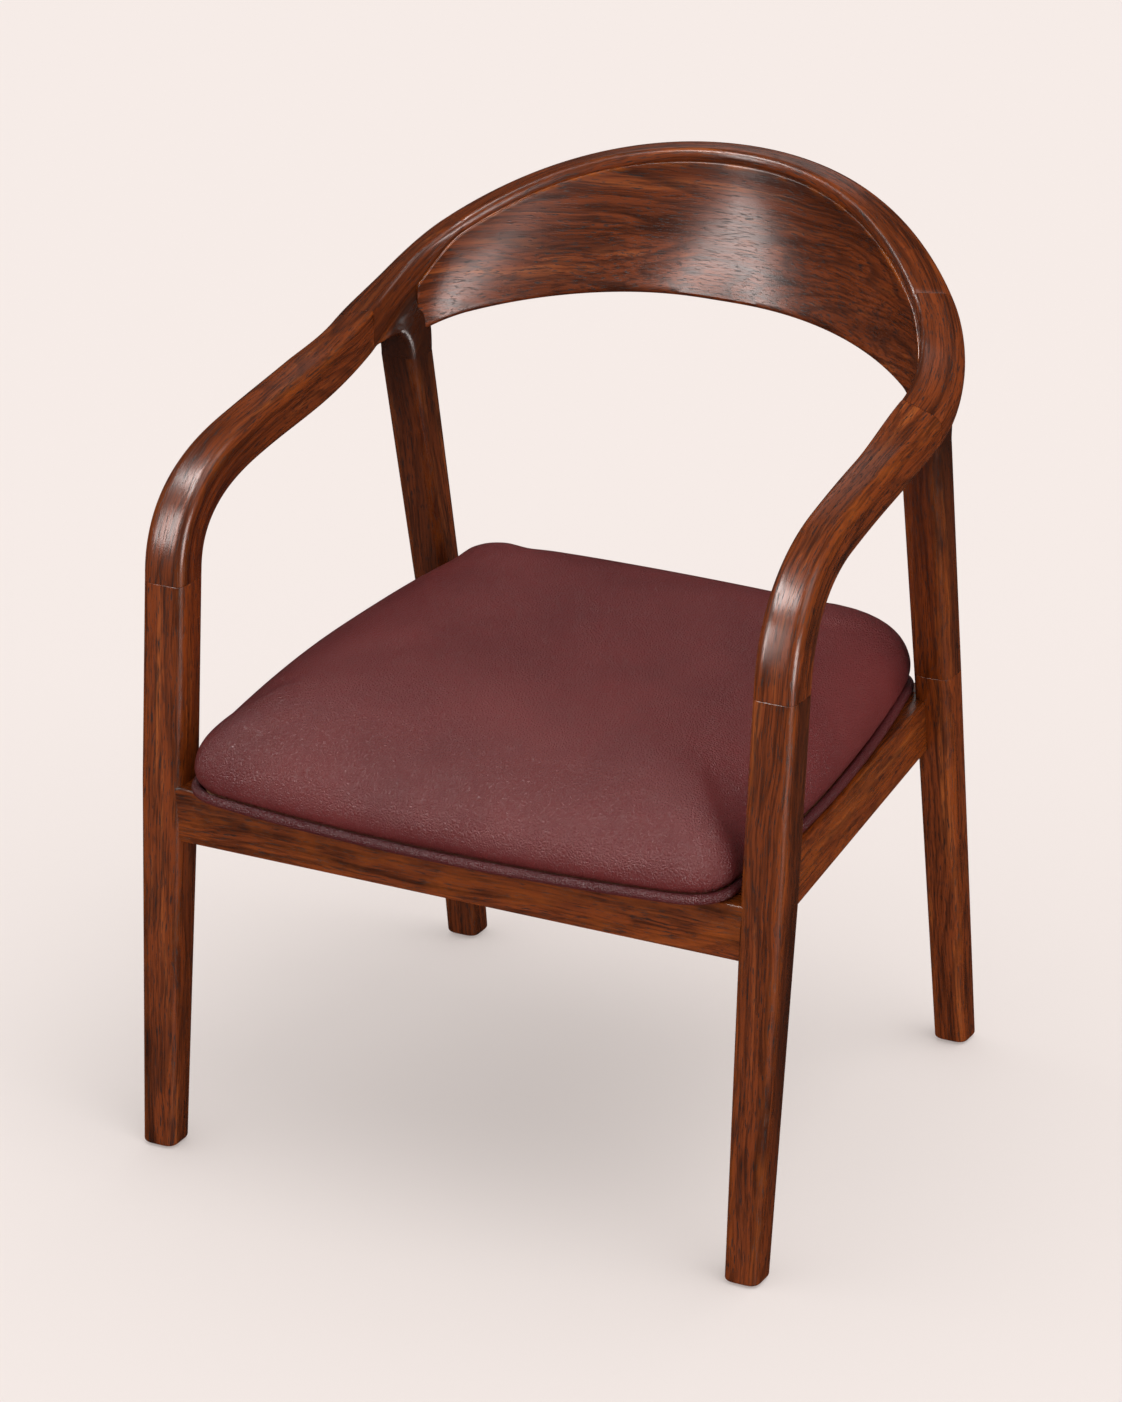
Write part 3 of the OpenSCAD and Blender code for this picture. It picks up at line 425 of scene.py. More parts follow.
def loft(name, rings, runs, locals_, edges, material, side=1, ease=(True, True), shade=None):
    """A piece through rings, with the grain's own coordinates on every point.
    runs gives each ring's length along the grain, locals_ its points across it."""
    rings, runs, locals_, edges = list(rings), list(runs), list(locals_), list(edges)
    if ease[0]:
        rings.insert(0, drawn_in(rings[0], JOINT_EASE))
        rings[1] = mix(rings[1], rings[2], JOINT_EASE / max(abs(runs[1] - runs[0]), 1))
        for values in (runs, locals_, edges):
            values.insert(0, values[0])
    if ease[1]:
        rings.append(drawn_in(rings[-1], JOINT_EASE))
        rings[-2] = mix(rings[-2], rings[-3], JOINT_EASE / max(abs(runs[-1] - runs[-2]), 1))
        for values in (runs, locals_, edges):
            values.append(values[-1])
    count = len(rings[0])
    points = np.concatenate(rings)
    grain = np.concatenate([
        np.column_stack([np.full(count, run), local]) for run, local in zip(runs, locals_)
    ]) * MM
    faces = ring_faces(len(rings), count)
    attributes = {"grain": grain, "edge": np.concatenate(edges)}
    if shade:
        attributes["shade"] = shade(points[:, 2])
    if side < 0:
        points = flip(points)
        faces = [tuple(reversed(f)) for f in faces]
    return make_piece(name, points, faces, material, attributes)


# Materials
def srgb(r, g, b):
    return tuple(
        c / 255 / 12.92 if c <= 10 else ((c / 255 + 0.055) / 1.055) ** 2.4 for c in (r, g, b)
    ) + (1.0,)


class Nodes:
    """A small helper for node trees."""

    def __init__(self, name):
        self.mat = bpy.data.materials.new(name)
        self.mat.use_nodes = True
        self.tree = self.mat.node_tree
        self.shader = self.tree.nodes["Principled BSDF"]

    def add(self, kind, **values):
        node = self.tree.nodes.new(kind)
        for key, value in values.items():
            setattr(node, key, value)
        return node

    def link(self, a, b):
        self.tree.links.new(a, b)

    def math(self, operation, a, b=None, c=None, clamped=False):
        node = self.add("ShaderNodeMath", operation=operation, use_clamp=clamped)
        for socket, value in zip(node.inputs, (a, b, c)):
            if value is None:
                continue
            if isinstance(value, (int, float)):
                socket.default_value = value
            else:
                self.link(value, socket)
        return node.outputs[0]

    def scaled(self, vector, scale, offset=(0, 0, 0)):
        node = self.add("ShaderNodeMapping")
        self.link(vector, node.inputs["Vector"])
        node.inputs["Scale"].default_value = scale
        node.inputs["Location"].default_value = offset
        return node.outputs[0]

    def noise(self, vector, scale=1.0, detail=4.0, rough=0.5):
        node = self.add("ShaderNodeTexNoise")
        self.link(vector, node.inputs["Vector"])
        node.inputs["Scale"].default_value = scale
        node.inputs["Detail"].default_value = detail
        node.inputs["Roughness"].default_value = rough
        return node.outputs["Fac"]

    def drifted(self, vector, place, amount, detail):
        """The vector, moved about by a noise."""
        noise = self.add("ShaderNodeTexNoise")
        self.link(place, noise.inputs["Vector"])
        noise.inputs["Scale"].default_value = 1
        noise.inputs["Detail"].default_value = detail
        node = self.add("ShaderNodeVectorMath", operation="MULTIPLY_ADD")
        self.link(noise.outputs["Color"], node.inputs[0])
        node.inputs[1].default_value = amount
        self.link(vector, node.inputs[2])
        return node.outputs[0]

    def bump(self, height, strength, distance):
        node = self.add("ShaderNodeBump")
        node.inputs["Strength"].default_value = strength
        node.inputs["Distance"].default_value = distance
        self.link(height, node.inputs["Height"])
        self.link(node.outputs[0], self.shader.inputs["Normal"])

    def set(self, name, value):
        self.shader.inputs[name].default_value = value

    def ramp(self, value, stops):
        node = self.add("ShaderNodeValToRGB")
        self.link(value, node.inputs[0])
        ramp = node.color_ramp
        while len(ramp.elements) < len(stops):
            ramp.elements.new(0.5)
        for element, (place, colour) in zip(ramp.elements, stops):
            element.position = place
            element.color = colour if len(colour) == 4 else (*colour, 1)
        return node.outputs[0]

    def blend(self, factor, a, b, kind="MIX"):
        node = self.add("ShaderNodeMix", data_type="RGBA", blend_type=kind)
        if isinstance(factor, (int, float)):
            node.inputs[0].default_value = factor
        else:
            self.link(factor, node.inputs[0])
        for socket, value in ((node.inputs[6], a), (node.inputs[7], b)):
            if isinstance(value, tuple):
                socket.default_value = value
            else:
                self.link(value, socket)
        return node.outputs[2]


def grey(v):
    return (v, v, v, 1)


def wood(name, dark, mid, light, seed, direction=None, figure=0.6, gloss=0.28,
         coat=0.16, pale=False):
    """Oiled dark wood. The grain runs along the first of the grain's coordinates, or
    along a direction given in the row frame for a node that has none."""
    n = Nodes(name)
    if direction is None:
        source = n.add("ShaderNodeAttribute", attribute_name="grain").outputs["Vector"]
    else:
        coordinate = n.add("ShaderNodeTexCoord").outputs["Object"]
        turn = n.add("ShaderNodeMapping")
        n.link(coordinate, turn.inputs["Vector"])
        turn.inputs["Rotation"].default_value = tuple(
            Vector(direction).to_track_quat("X", "Z").inverted().to_euler()
        )
        source = turn.outputs[0]
    shift = (seed * 1.37, seed * 0.61, seed * 0.83)
    # slow drift of the grain lines
    flow = n.drifted(source, n.scaled(source, (4.5, 11, 11), shift), (0, 0.022, 0.022), 3)
    # growth rings cut at a low angle: closed contours, long along the grain
    field = n.noise(n.scaled(flow, (1.5, 17, 17), shift), 1, 1.2, 0.45)
    ring = n.math("FRACT", n.math("MULTIPLY", field, 17.0))
    late = n.ramp(ring, [(0.0, grey(0.0)), (0.55, grey(0.22)), (0.86, grey(1.0)),
                         (0.97, grey(0.55)), (1.0, grey(0.0))])
    streak = n.noise(n.scaled(flow, (2.6, 62, 62), shift), 1, 6, 0.66)
    zone = n.noise(n.scaled(flow, (1.1, 15, 15), (seed * 0.3, 4.1, seed * 0.7)), 1, 3, 0.5)
    fibre = n.noise(n.scaled(flow, (12, 520, 520), shift), 1, 3, 0.65)
    base = n.ramp(streak, [(0.32, dark), (0.45, mid), (0.57, mid), (0.72, light)])
    zoned = n.blend(
        n.ramp(zone, [(0.30, grey(0.75)), (0.46, grey(0.15)), (0.60, grey(0.0))]), base, dark
    )
    ringed = n.blend(n.math("MULTIPLY", late, figure), zoned, dark)
    lines = n.math("MULTIPLY", n.ramp(fibre, [(0.38, grey(1)), (0.54, grey(0))]), 0.72)
    fibred = n.blend(lines, ringed, dark)
    # open pores: short dark dashes along the grain
    pore = n.noise(n.scaled(flow, (85, 900, 900), shift), 1, 1.5, 0.5)
    pores = n.ramp(pore, [(0.59, grey(0)), (0.67, grey(1))])
    coloured = n.blend(n.math("MULTIPLY", pores, 0.35 if pale else 0.8), fibred,
                       tuple(0.35 * c for c in dark[:3]) + (1,))
    # painted shade darkens the carved hollow below the rail; the posts darken towards it, partly
    # as darker wood and partly as painted shade
    shade = n.add("ShaderNodeAttribute", attribute_name="shade").outputs["Fac"]
    coloured = n.blend(shade, coloured, tuple(0.62 * c for c in dark[:3]) + (1,))
    # rubbed edges, and a painted highlight where the edge value is raised, as on the panel's
    # ledge
    if direction is None:
        edge = n.add("ShaderNodeAttribute", attribute_name="edge").outputs["Fac"]
    else:
        edge = n.ramp(n.add("ShaderNodeNewGeometry").outputs["Pointiness"],
                      [(0.52, grey(0)), (0.60, grey(1))])
    wear_and_highlight_noise = n.ramp(n.noise(n.scaled(source, (24, 60, 60), shift), 1, 4, 0.6),
                        [(0.42, grey(0)), (0.68, grey(1))])
    wear_and_highlight = n.math("MULTIPLY", n.math("MULTIPLY", edge, wear_and_highlight_noise), 0.28)
    n.link(n.blend(wear_and_highlight, coloured, light), n.shader.inputs["Base Color"])
    rough = n.math("ADD", n.math("MULTIPLY", streak, 0.22), gloss - 0.11)
    rough = n.math("ADD", rough, n.math("MULTIPLY", pores, 0.22))
    n.link(n.math("SUBTRACT", rough, n.math("MULTIPLY", wear_and_highlight, 0.2), clamped=True),
           n.shader.inputs["Roughness"])
    relief = n.math("SUBTRACT", n.math("MULTIPLY", fibre, 0.4), pores)
    n.bump(relief, 0.4, 0.00015)
    n.set("Specular IOR Level", 0.4)
    n.set("Coat Weight", coat)
    n.set("Coat Roughness", 0.2)
    return n.mat


def leather(name, colour, deep, seed, scale=1.0):
    n = Nodes(name)
    place = n.add("ShaderNodeTexCoord").outputs["Object"]
    cloud = n.noise(n.scaled(place, (7, 7, 7), (seed, 0, 0)), 1, 3, 0.55)
    bent = n.drifted(place, n.scaled(place, (150, 150, 150)), (0.0022, 0.0022, 0.0022), 2)

    def cells(per_metre, feature):
        node = n.add("ShaderNodeTexVoronoi", feature=feature)
        n.link(bent, node.inputs["Vector"])
        node.inputs["Scale"].default_value = per_metre
        return node.outputs["Distance"]

    coarse = n.ramp(cells(330 * scale, "DISTANCE_TO_EDGE"), [(0.0, grey(0)), (0.30, grey(1))])
    fine = n.ramp(cells(1050 * scale, "DISTANCE_TO_EDGE"), [(0.0, grey(0)), (0.35, grey(1))])
    swell = n.noise(n.scaled(place, (120, 120, 120)), 1, 3, 0.6)
    crease = n.math("MULTIPLY", n.math("SUBTRACT", 1.0, coarse), 0.30)
    base = n.blend(n.ramp(cloud, [(0.35, grey(0)), (0.68, grey(1))]), deep, colour)
    n.link(n.blend(crease, base, deep), n.shader.inputs["Base Color"])
    height = n.math("ADD", n.math("MULTIPLY", coarse, 0.62), n.math("MULTIPLY", fine, 0.22))
    height = n.math("ADD", height, n.math("MULTIPLY", swell, 0.5))
    # folds where the cover is drawn round a corner
    fold = n.add("ShaderNodeAttribute", attribute_name="fold").outputs["Fac"]
    near = n.add("ShaderNodeAttribute", attribute_name="near").outputs["Fac"]
    wave = n.math("SINE", n.math("MULTIPLY_ADD", swell, 3.0, n.math("MULTIPLY", fold, 21.0)))
    height = n.math("ADD", height, n.math("MULTIPLY", wave, near))
    n.bump(height, 0.9, 0.001)
    rough = n.math("ADD", n.math("MULTIPLY", cloud, 0.10), 0.25)
    n.link(rough, n.shader.inputs["Roughness"])
    n.set("Specular IOR Level", 0.45)
    return n.mat


def plain(name, colour, other, rough, scale, metallic=0.0):
    """A plain material, slightly speckled."""
    n = Nodes(name)
    place = n.add("ShaderNodeTexCoord").outputs["Object"]
    speckle = n.noise(n.scaled(place, scale), 1, 4, 0.6)
    n.link(n.blend(n.ramp(speckle, [(0.35, grey(0)), (0.65, grey(1))]), colour, other),
           n.shader.inputs["Base Color"])
    n.link(n.math("ADD", n.math("MULTIPLY", speckle, 0.2), rough - 0.1),
           n.shader.inputs["Roughness"])
    n.bump(speckle, 0.5, 0.0001)
    n.set("Metallic", metallic)
    return n.mat


DARK, MID, LIGHT = srgb(54, 20, 4), srgb(132, 58, 15), srgb(180, 92, 28)
arm_wood = {
    side: wood(f"walnut_arm_{side}", DARK, MID, LIGHT, seed, figure=0.5)
    for side, seed in (("right", 3), ("left", 11))
}
leg_wood = {
    key: wood(f"walnut_{key}", DARK, MID, LIGHT, seed, figure=0.5)
    for key, seed in (("front_right", 5), ("front_left", 17), ("rear_right", 23),
                      ("rear_left", 31), ("post_right", 37), ("post_left", 41))
}
corner_wood = {
    side: wood(f"walnut_corner_{side}", DARK, MID, LIGHT, seed, figure=0.4)
    for side, seed in (("right", 7), ("left", 13))
}
crest_wood = wood("walnut_crest", DARK, MID, LIGHT, 19, figure=0.5)
panel_wood = wood("walnut_panel", DARK, srgb(136, 60, 16), srgb(188, 98, 32), 29, figure=0.6)


# Arms, crest and panel
def side_name(side):
    return "right" if side > 0 else "left"


def rail_rings(values):
    rings, runs, local, edges = [], [], [], []
    for g in values:
        section, edge = rail_section(g)
        rings.append(on_rail(g, section))
        runs.append(rail_length(g))
        local.append(section)
        edges.append(edge)
    return rings, runs, local, edges


def arm(side):
    values = np.concatenate([np.linspace(0, 1, 44)[:-1], np.linspace(1, 2, 30)])
    rings, runs, local, edges = rail_rings(values)
    foot = square_ring(leg_top, front_leg_w, corner_cut(front_leg_w, front_leg_w))
    rings.insert(0, foot)
    runs.insert(0, -straight_above_leg)
    local.insert(0, local[0])
    edges.insert(0, edges[0])
    piece = loft(f"arm_{side_name(side)}_shaped", rings, runs, local, edges,
                 arm_wood[side_name(side)], side)
    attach(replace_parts(piece, f"arm_{side_name(side)}"), "root")


def both_halves(rings, runs, local):
    """The right half, carried on through its mirror image."""
    rings += [flip(r) for r in rings[-2::-1]]
    runs += [2 * runs[-1] - r for r in runs[-2::-1]]
    local += local[-2::-1]


def crest():
    rings, runs, local, edges = rail_rings(np.linspace(3, 4, 44))
    both_halves(rings, runs, local)
    edges += edges[-2::-1]
    piece = loft("crest_rail_shaped", rings, runs, local, edges, crest_wood)
    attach(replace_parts(piece, "crest_rail"), "root")


def panel():
    grain_zero_z = 700
    rings, runs, local = [], [], []
    for g in np.concatenate([np.linspace(panel_end_g, 3, 14)[:-1], np.linspace(3, 4, 40)]):
        section = panel_section(g, steps=22, cover=FACE_LAP)
        rings.append(on_rail(g, section, level=True))
        runs.append(rail_length(g))
        local.append(section - np.array([0, grain_zero_z]))
    both_halves(rings, runs, local)
    edge = np.zeros(len(rings[0]))
    # a painted highlight along the ledge, mixed in through the wood's edge-wear blend
    edge[-LEDGE_POINTS:] = LEDGE_HIGHLIGHT
    edges = [edge] * len(rings)
    piece = loft("back_panel_shaped", rings, runs, local, edges, panel_wood)
    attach(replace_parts(piece, "back_panel"), "root")


for side in (1, -1):
    arm(side)
crest()
panel()


# Legs and posts
def straight(name, node, heights, ring_at, centre_at, material, side, ease, shade=None):
    rings, runs, local, edges = [], [], [], []
    _, edge = rounded([[-1, -1], [1, -1], [1, 1], [-1, 1]], [0.3] * 4, STEPS)
    for z in heights:
        ring = ring_at(z)
        rings.append(ring)
        runs.append(z)
        local.append(ring[:, :2] - centre_at(z)[None, :2])
        edges.append(edge)
    piece = loft(name, rings, runs, local, edges, material, side, ease, shade)
    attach(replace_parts(piece, node), "root")


def foot_rings(centre_at, size_at, plain_ring):
    """Ring at a height, with the foot's bevel rounded over the last few millimetres.
    The curve stops short of a full quarter circle."""
    curve_share = 0.96

    def ring_at(z):
        if z >= glide_t + foot_bevel:
            return plain_ring(z)
        t = (glide_t + foot_bevel - z) / foot_bevel
        narrower = foot_bevel * (1 - math.sqrt(1 - curve_share * t * t))
        ring = plain_ring(glide_t + foot_bevel)
        centre = centre_at(z)
        ring = (ring - ring.mean(0)) * (1 - 2 * narrower / size_at(glide_t)) + centre
        ring[:, 2] = z
        return ring

    return ring_at


def front_ring(z):
    size = front_leg_size(z)
    return square_ring(front_leg_centre(z), size, corner_cut(size, front_leg_w))


def post_shade(z):
    """The post is darker towards the carved corner: partly darker wood, partly painted shade
    under the rail.
    """
    low, high, start_z = 0.15, 0.8, 470
    return mix(low, high, np.clip((z - start_z) / (head_seam_z - start_z), 0, 1) ** 1.5)


leg_heights = [glide_t + foot_bevel * k / 6 for k in range(6)] + [5, 30, 90, 172, 258]
post_heights = [rear_seam_z, 420, 460, 500, 540, 580, 610, head_seam_z]
for side in (1, -1):
    tag = side_name(side)
    straight(
        f"front_leg_{tag}_shaped", f"front_leg_{tag}",
        leg_heights + [frame_top, 430, arm_seam_z],
        foot_rings(front_leg_centre, front_leg_size, front_ring),
        front_leg_centre, leg_wood[f"front_{tag}"], side, (False, True),
    )
    straight(
        f"rear_leg_{tag}_shaped", f"rear_leg_{tag}",
        leg_heights + [330, rear_seam_z],
        foot_rings(rear_low_centre, rear_leg_size, lambda z: rear_ring(rear_low_centre(z), z)),
        rear_low_centre, leg_wood[f"rear_{tag}"], side, (False, True),
    )
    straight(
        f"rear_post_{tag}_shaped", f"rear_post_{tag}",
        post_heights, lambda z: rear_ring(rear_post_centre(z), z),
        rear_post_centre, leg_wood[f"post_{tag}"], side, (True, False), post_shade,
    )


# Carved corners
web_start_g, web_lift = 2.06, 10
head_steps, head_flare, head_rise, head_cut, head_sunk = 12, 2.2, 6, 8, 5


def head_rings():
    """The head that flares out of the post. It starts a little low, and corner_shape
    cuts it off at the seam."""
    half = rear_leg_w / 2
    centre, out = rail_point(post_g), rail_out(post_g)
    way = np.array([-out[1], out[0]])
    w = rail_way(post_g)
    slope = w[2] / math.hypot(w[0], w[1])
    low = np.array([[-1, -1], [1, -1], [1, 1], [-1, 1]]) * half + post_top[:2]
    # corners of the head under the rail: outward, and along the rail
    top_corners = ([-14, -30], [9, -30], [14, 22], [-14, 22])
    high = np.array([centre[:2] + out[:2] * a + way * b for a, b in top_corners])
    rings = []
    for k in range(head_steps + 1):
        t = k / head_steps
        cut = mix(leg_round, head_cut, t)
        plan, _ = rounded(mix(low, high, t**head_flare), [cut] * 4, STEPS)
        rings.append(np.array([
            [q[0], q[1], mix(head_seam_z, rail_lower(post_g) + head_rise
                             + slope * float((q - centre[:2]) @ way), t)]
            for q in plan
        ]))
    rings.insert(0, rings[0] - np.array([0, 0, head_sunk]))
    return rings


def add_rings(bm, rings):
    count = len(rings[0])
    verts = [bm.verts.new(p) for p in np.concatenate(rings)]
    for f in ring_faces(len(rings), count):
        bm.faces.new([verts[i] for i in f])


def cut_plane(bm, point, normal):
    """Keeps what lies against the normal, and closes the cut."""
    geometry = bm.verts[:] + bm.edges[:] + bm.faces[:]
    made = bmesh.ops.bisect_plane(
        bm, geom=geometry, plane_co=point, plane_no=normal, clear_outer=True
    )
    rim = [e for e in made["geom_cut"] if isinstance(e, bmesh.types.BMEdge)]
    bmesh.ops.edgeloop_fill(bm, edges=rim)


def corner_shape():
    """The carved corner as one smooth mesh: rail, web and head run into each other.
    The rail and the head reach a little past their joints and are cut off there."""
    bm = bmesh.new()
    add_rings(bm, [on_rail(g, rail_section(g)[0]) for g in np.linspace(1.94, 3.05, 50)])
    add_rings(bm, [
        on_rail(g, panel_section(g, lift=web_lift), level=True)
        for g in np.linspace(web_start_g, panel_end_g + 0.06, 22)
    ])
    add_rings(bm, head_rings())
    mesh = bpy.data.meshes.new("corner_rough")
    bm.to_mesh(mesh)
    bm.free()
    mesh.transform(Matrix.Scale(MM, 4))
    rough = bpy.data.objects.new("corner_rough", mesh)
    scene.collection.objects.link(rough)
    remesh = rough.modifiers.new("remesh", "REMESH")
    remesh.mode, remesh.voxel_size = "VOXEL", VOXEL * MM
    smooth = rough.modifiers.new("smooth", "SMOOTH")
    smooth.factor, smooth.iterations = 0.5, 7
    result = bpy.data.meshes.new_from_object(
        rough.evaluated_get(bpy.context.evaluated_depsgraph_get())
    )
    bpy.data.objects.remove(rough)
    bm = bmesh.new()
    bm.from_mesh(result)
    bmesh.ops.scale(bm, vec=(1 / MM, 1 / MM, 1 / MM), verts=bm.verts)
    for g, sign in ((2, -1), (3, 1)):
        o = rail_out(g)
        cut_plane(bm, rail_point(g), np.array([-o[1], o[0], 0]) * sign)
    cut_plane(bm, (0, 0, head_seam_z), (0, 0, -1))
    bm.verts.ensure_lookup_table()
    points = np.array([v.co for v in bm.verts])
    faces = [tuple(v.index for v in f.verts) for f in bm.faces]
    bm.free()
    return points, faces


def rail_coordinates(points):
    """Grain coordinates of loose points, from the nearest place on the rail's centre
    line, and how much painted shade each gets in the hollow below the rail."""
    hollow_shade, start_above, fade = 0.85, 2, 7
    batch = 4000
    dense = np.linspace(1.9, 3.1, 240)
    line = np.array([rail_point(min(g, 4)) for g in dense])
    out = np.array([rail_out(g) for g in dense])
    runs = np.array([rail_length(g) for g in dense])
    lower = np.array([rail_lower(g) for g in dense])
    lip = np.array([along(lips, g) for g in dense])
    width = np.array([along(widths, g) for g in dense])
    found = np.empty((len(points), 3))
    shade = np.empty(len(points))
    for start in range(0, len(points), batch):
        part = points[start:start + batch]
        gap = ((part[:, None, :2] - line[None, :, :2]) ** 2).sum(2)
        i = gap.argmin(1)
        d = part - line[i]
        across = (d[:, :2] * out[i, :2]).sum(1)
        found[start:start + batch] = np.column_stack([runs[i], across, d[:, 2]])
        under = lower[i] + lip[i] * (0.5 - across / width[i]) - part[:, 2]
        # painted shade: darker the further a point lies below the rail's lower edge
        shade[start:start + batch] = hollow_shade * np.clip((under + start_above) / fade, 0, 1)
    return found, shade


corner_points, corner_faces = corner_shape()
corner_grain, corner_shade = rail_coordinates(corner_points)
for side in (1, -1):
    tag = side_name(side)
    points = corner_points if side > 0 else flip(corner_points)
    faces = corner_faces if side > 0 else [tuple(reversed(f)) for f in corner_faces]
    piece = make_piece(
        f"rear_corner_{tag}_carved", points, faces, corner_wood[tag],
        {"grain": corner_grain * MM, "edge": np.zeros(len(points)), "shade": corner_shade},
        smooth=50,
    )
    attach(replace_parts(piece, f"rear_corner_{tag}"), "root")

# Seat
rail_mid_z = frame_top - rail_h / 2
leg_face_y = front_leg_centre(rail_mid_z)[1] - front_leg_size(rail_mid_z) / 2
front_rail_back = leg_face_y + front_rail_inset + rail_t
rear_rail_y = rear_low_centre(rail_mid_z + seat_rise)[1] - rail_t / 2
seat_pitch = math.atan2(seat_rise, rear_rail_y - front_rail_back)


def seated(points):
    """The seat is drawn level and then set on the slope of the rails."""
    points = np.asarray(points, float)
    y, z = points[:, 1] - front_rail_back, points[:, 2] - frame_top
    c, s = math.cos(seat_pitch), math.sin(seat_pitch)
    return np.column_stack([
        points[:, 0], front_rail_back + y * c - z * s, frame_top + y * s + z * c
    ])


def unseated(points):
    """The same points, back on the level."""
    y, z = points[:, 1] - front_rail_back, points[:, 2] - frame_top
    c, s = math.cos(seat_pitch), math.sin(seat_pitch)
    return np.column_stack([
        points[:, 0], front_rail_back + y * c + z * s, frame_top - y * s + z * c
    ])


seat_front_x = front_leg_centre(frame_top)[0] - front_leg_size(frame_top) / 2 - seat_front_gap
rear_top = frame_top + seat_rise
seat_rear_x = rear_low_centre(rear_top)[0] - rear_leg_size(rear_top) / 2 - seat_rear_gap


def seat_outline(corner_steps, edge_steps):
    fr = np.array([seat_front_x, -seat_front_y])
    rr = np.array([seat_rear_x, seat_rear_y])
    side = unit(rr - fr)
    slope = unit([1, 2 * seat_bow / seat_front_x])

    def front_edge(x):
        return -seat_front_y - seat_bow * (1 - (x / seat_front_x) ** 2)

    def curve(a, c, b):
        return [a * (1 - t) ** 2 + c * 2 * t * (1 - t) + b * t * t
                for t in np.linspace(0, 1, corner_steps + 1)]

    fr_a = fr - slope * seat_front_round
    fr_b = fr + side * seat_front_round
    rr_a = rr - side * seat_rear_round
    rr_b = rr - np.array([seat_rear_round, 0])
    half = [np.array([x, front_edge(x)]) for x in np.linspace(0, fr_a[0], edge_steps)]
    half += curve(np.array([fr_a[0], front_edge(fr_a[0])]), fr, fr_b)[1:]
    d = unit(rr_a - fr_b)
    half += [fr_b + (rr_a - fr_b) * t + np.array([d[1], -d[0]]) * seat_side_bow * 4 * t * (1 - t)
             for t in np.linspace(0, 1, edge_steps)[1:-1]]
    half += curve(rr_a, rr, rr_b)
    half += [np.array([x, seat_rear_y]) for x in np.linspace(rr_b[0], 0, edge_steps)[1:]]
    half = np.array(half)
    return np.concatenate([half, (half * [-1, 1])[-2:0:-1]])


def outward(outline):
    """The level direction outward at each point of an outline."""
    ahead, back = np.roll(outline, -1, 0), np.roll(outline, 1, 0)
    d = ahead - back
    d /= np.linalg.norm(d, axis=1)[:, None]
    return np.column_stack([d[:, 1], -d[:, 0]])


def inset(outline, by):
    """The outline, with each point moved inward."""
    return outline - outward(outline) * by


board_bottom = frame_top + leather_t
piping_z = frame_top + piping_d / 2 + 0.5
channel = piping_d + 0.6
side_in = piping_d / 2 - cushion_bulge
cushion_centre = np.array([0, 0.5 * seat_rear_y])
wide_z = frame_top + cushion_wide_h - WIDE_DROP
seat_leather = leather("seat_leather", srgb(122, 48, 48), srgb(104, 38, 39), 2)
piping_leather = leather("piping_leather", srgb(106, 40, 42), srgb(86, 31, 34), 6, 1.2)
black_cloth = plain("dust_cloth", srgb(22, 22, 23), srgb(34, 34, 35), 0.9, (900, 900, 900))


def cushion_form(shrink):
    outline = seat_outline(12, 22)

    def level(by, z):
        return np.column_stack([inset(outline, by + shrink), np.full(len(outline), z)])

    rings = [level(channel + 26, board_bottom), level(channel + 1, board_bottom),
             level(channel, board_bottom + 1),
             level(channel, piping_z - 1), level(channel - 4, piping_z + piping_d / 2 - 2.5),
             level(mix(channel, side_in - OVERHANG, 0.75), piping_z + piping_d / 2),
             level(mix(channel, side_in - OVERHANG, 0.95), piping_z + piping_d / 2 + 4.5)]
    rim = inset(outline, side_in + shrink - OVERHANG)
    # square at the back, gently domed at the front
    way = (rim - cushion_centre) / np.array([seat_front_x, seat_rear_y / 2])
    way /= np.linalg.norm(way, axis=1)[:, None]
    power = (
        SIDE_POWER + (FRONT_POWER - SIDE_POWER) * np.clip(-way[:, 1], 0, None) ** 2
        + (REAR_POWER - SIDE_POWER) * np.clip(way[:, 1], 0, None) ** 2
    )
    crown_rows, crown_shrink, crown_spread = 32, 0.985, 2.2
    for k in range(crown_rows + 1):
        share = 1 - crown_shrink * (k / crown_rows) ** crown_spread
        q = cushion_centre + (rim - cushion_centre) * share
        rings.append(np.column_stack([
            q, wide_z + (cushion_h - cushion_wide_h - shrink) * np.sqrt(1 - share**power)
        ]))
    return seated(np.concatenate(rings)), ring_faces(len(rings), len(outline))


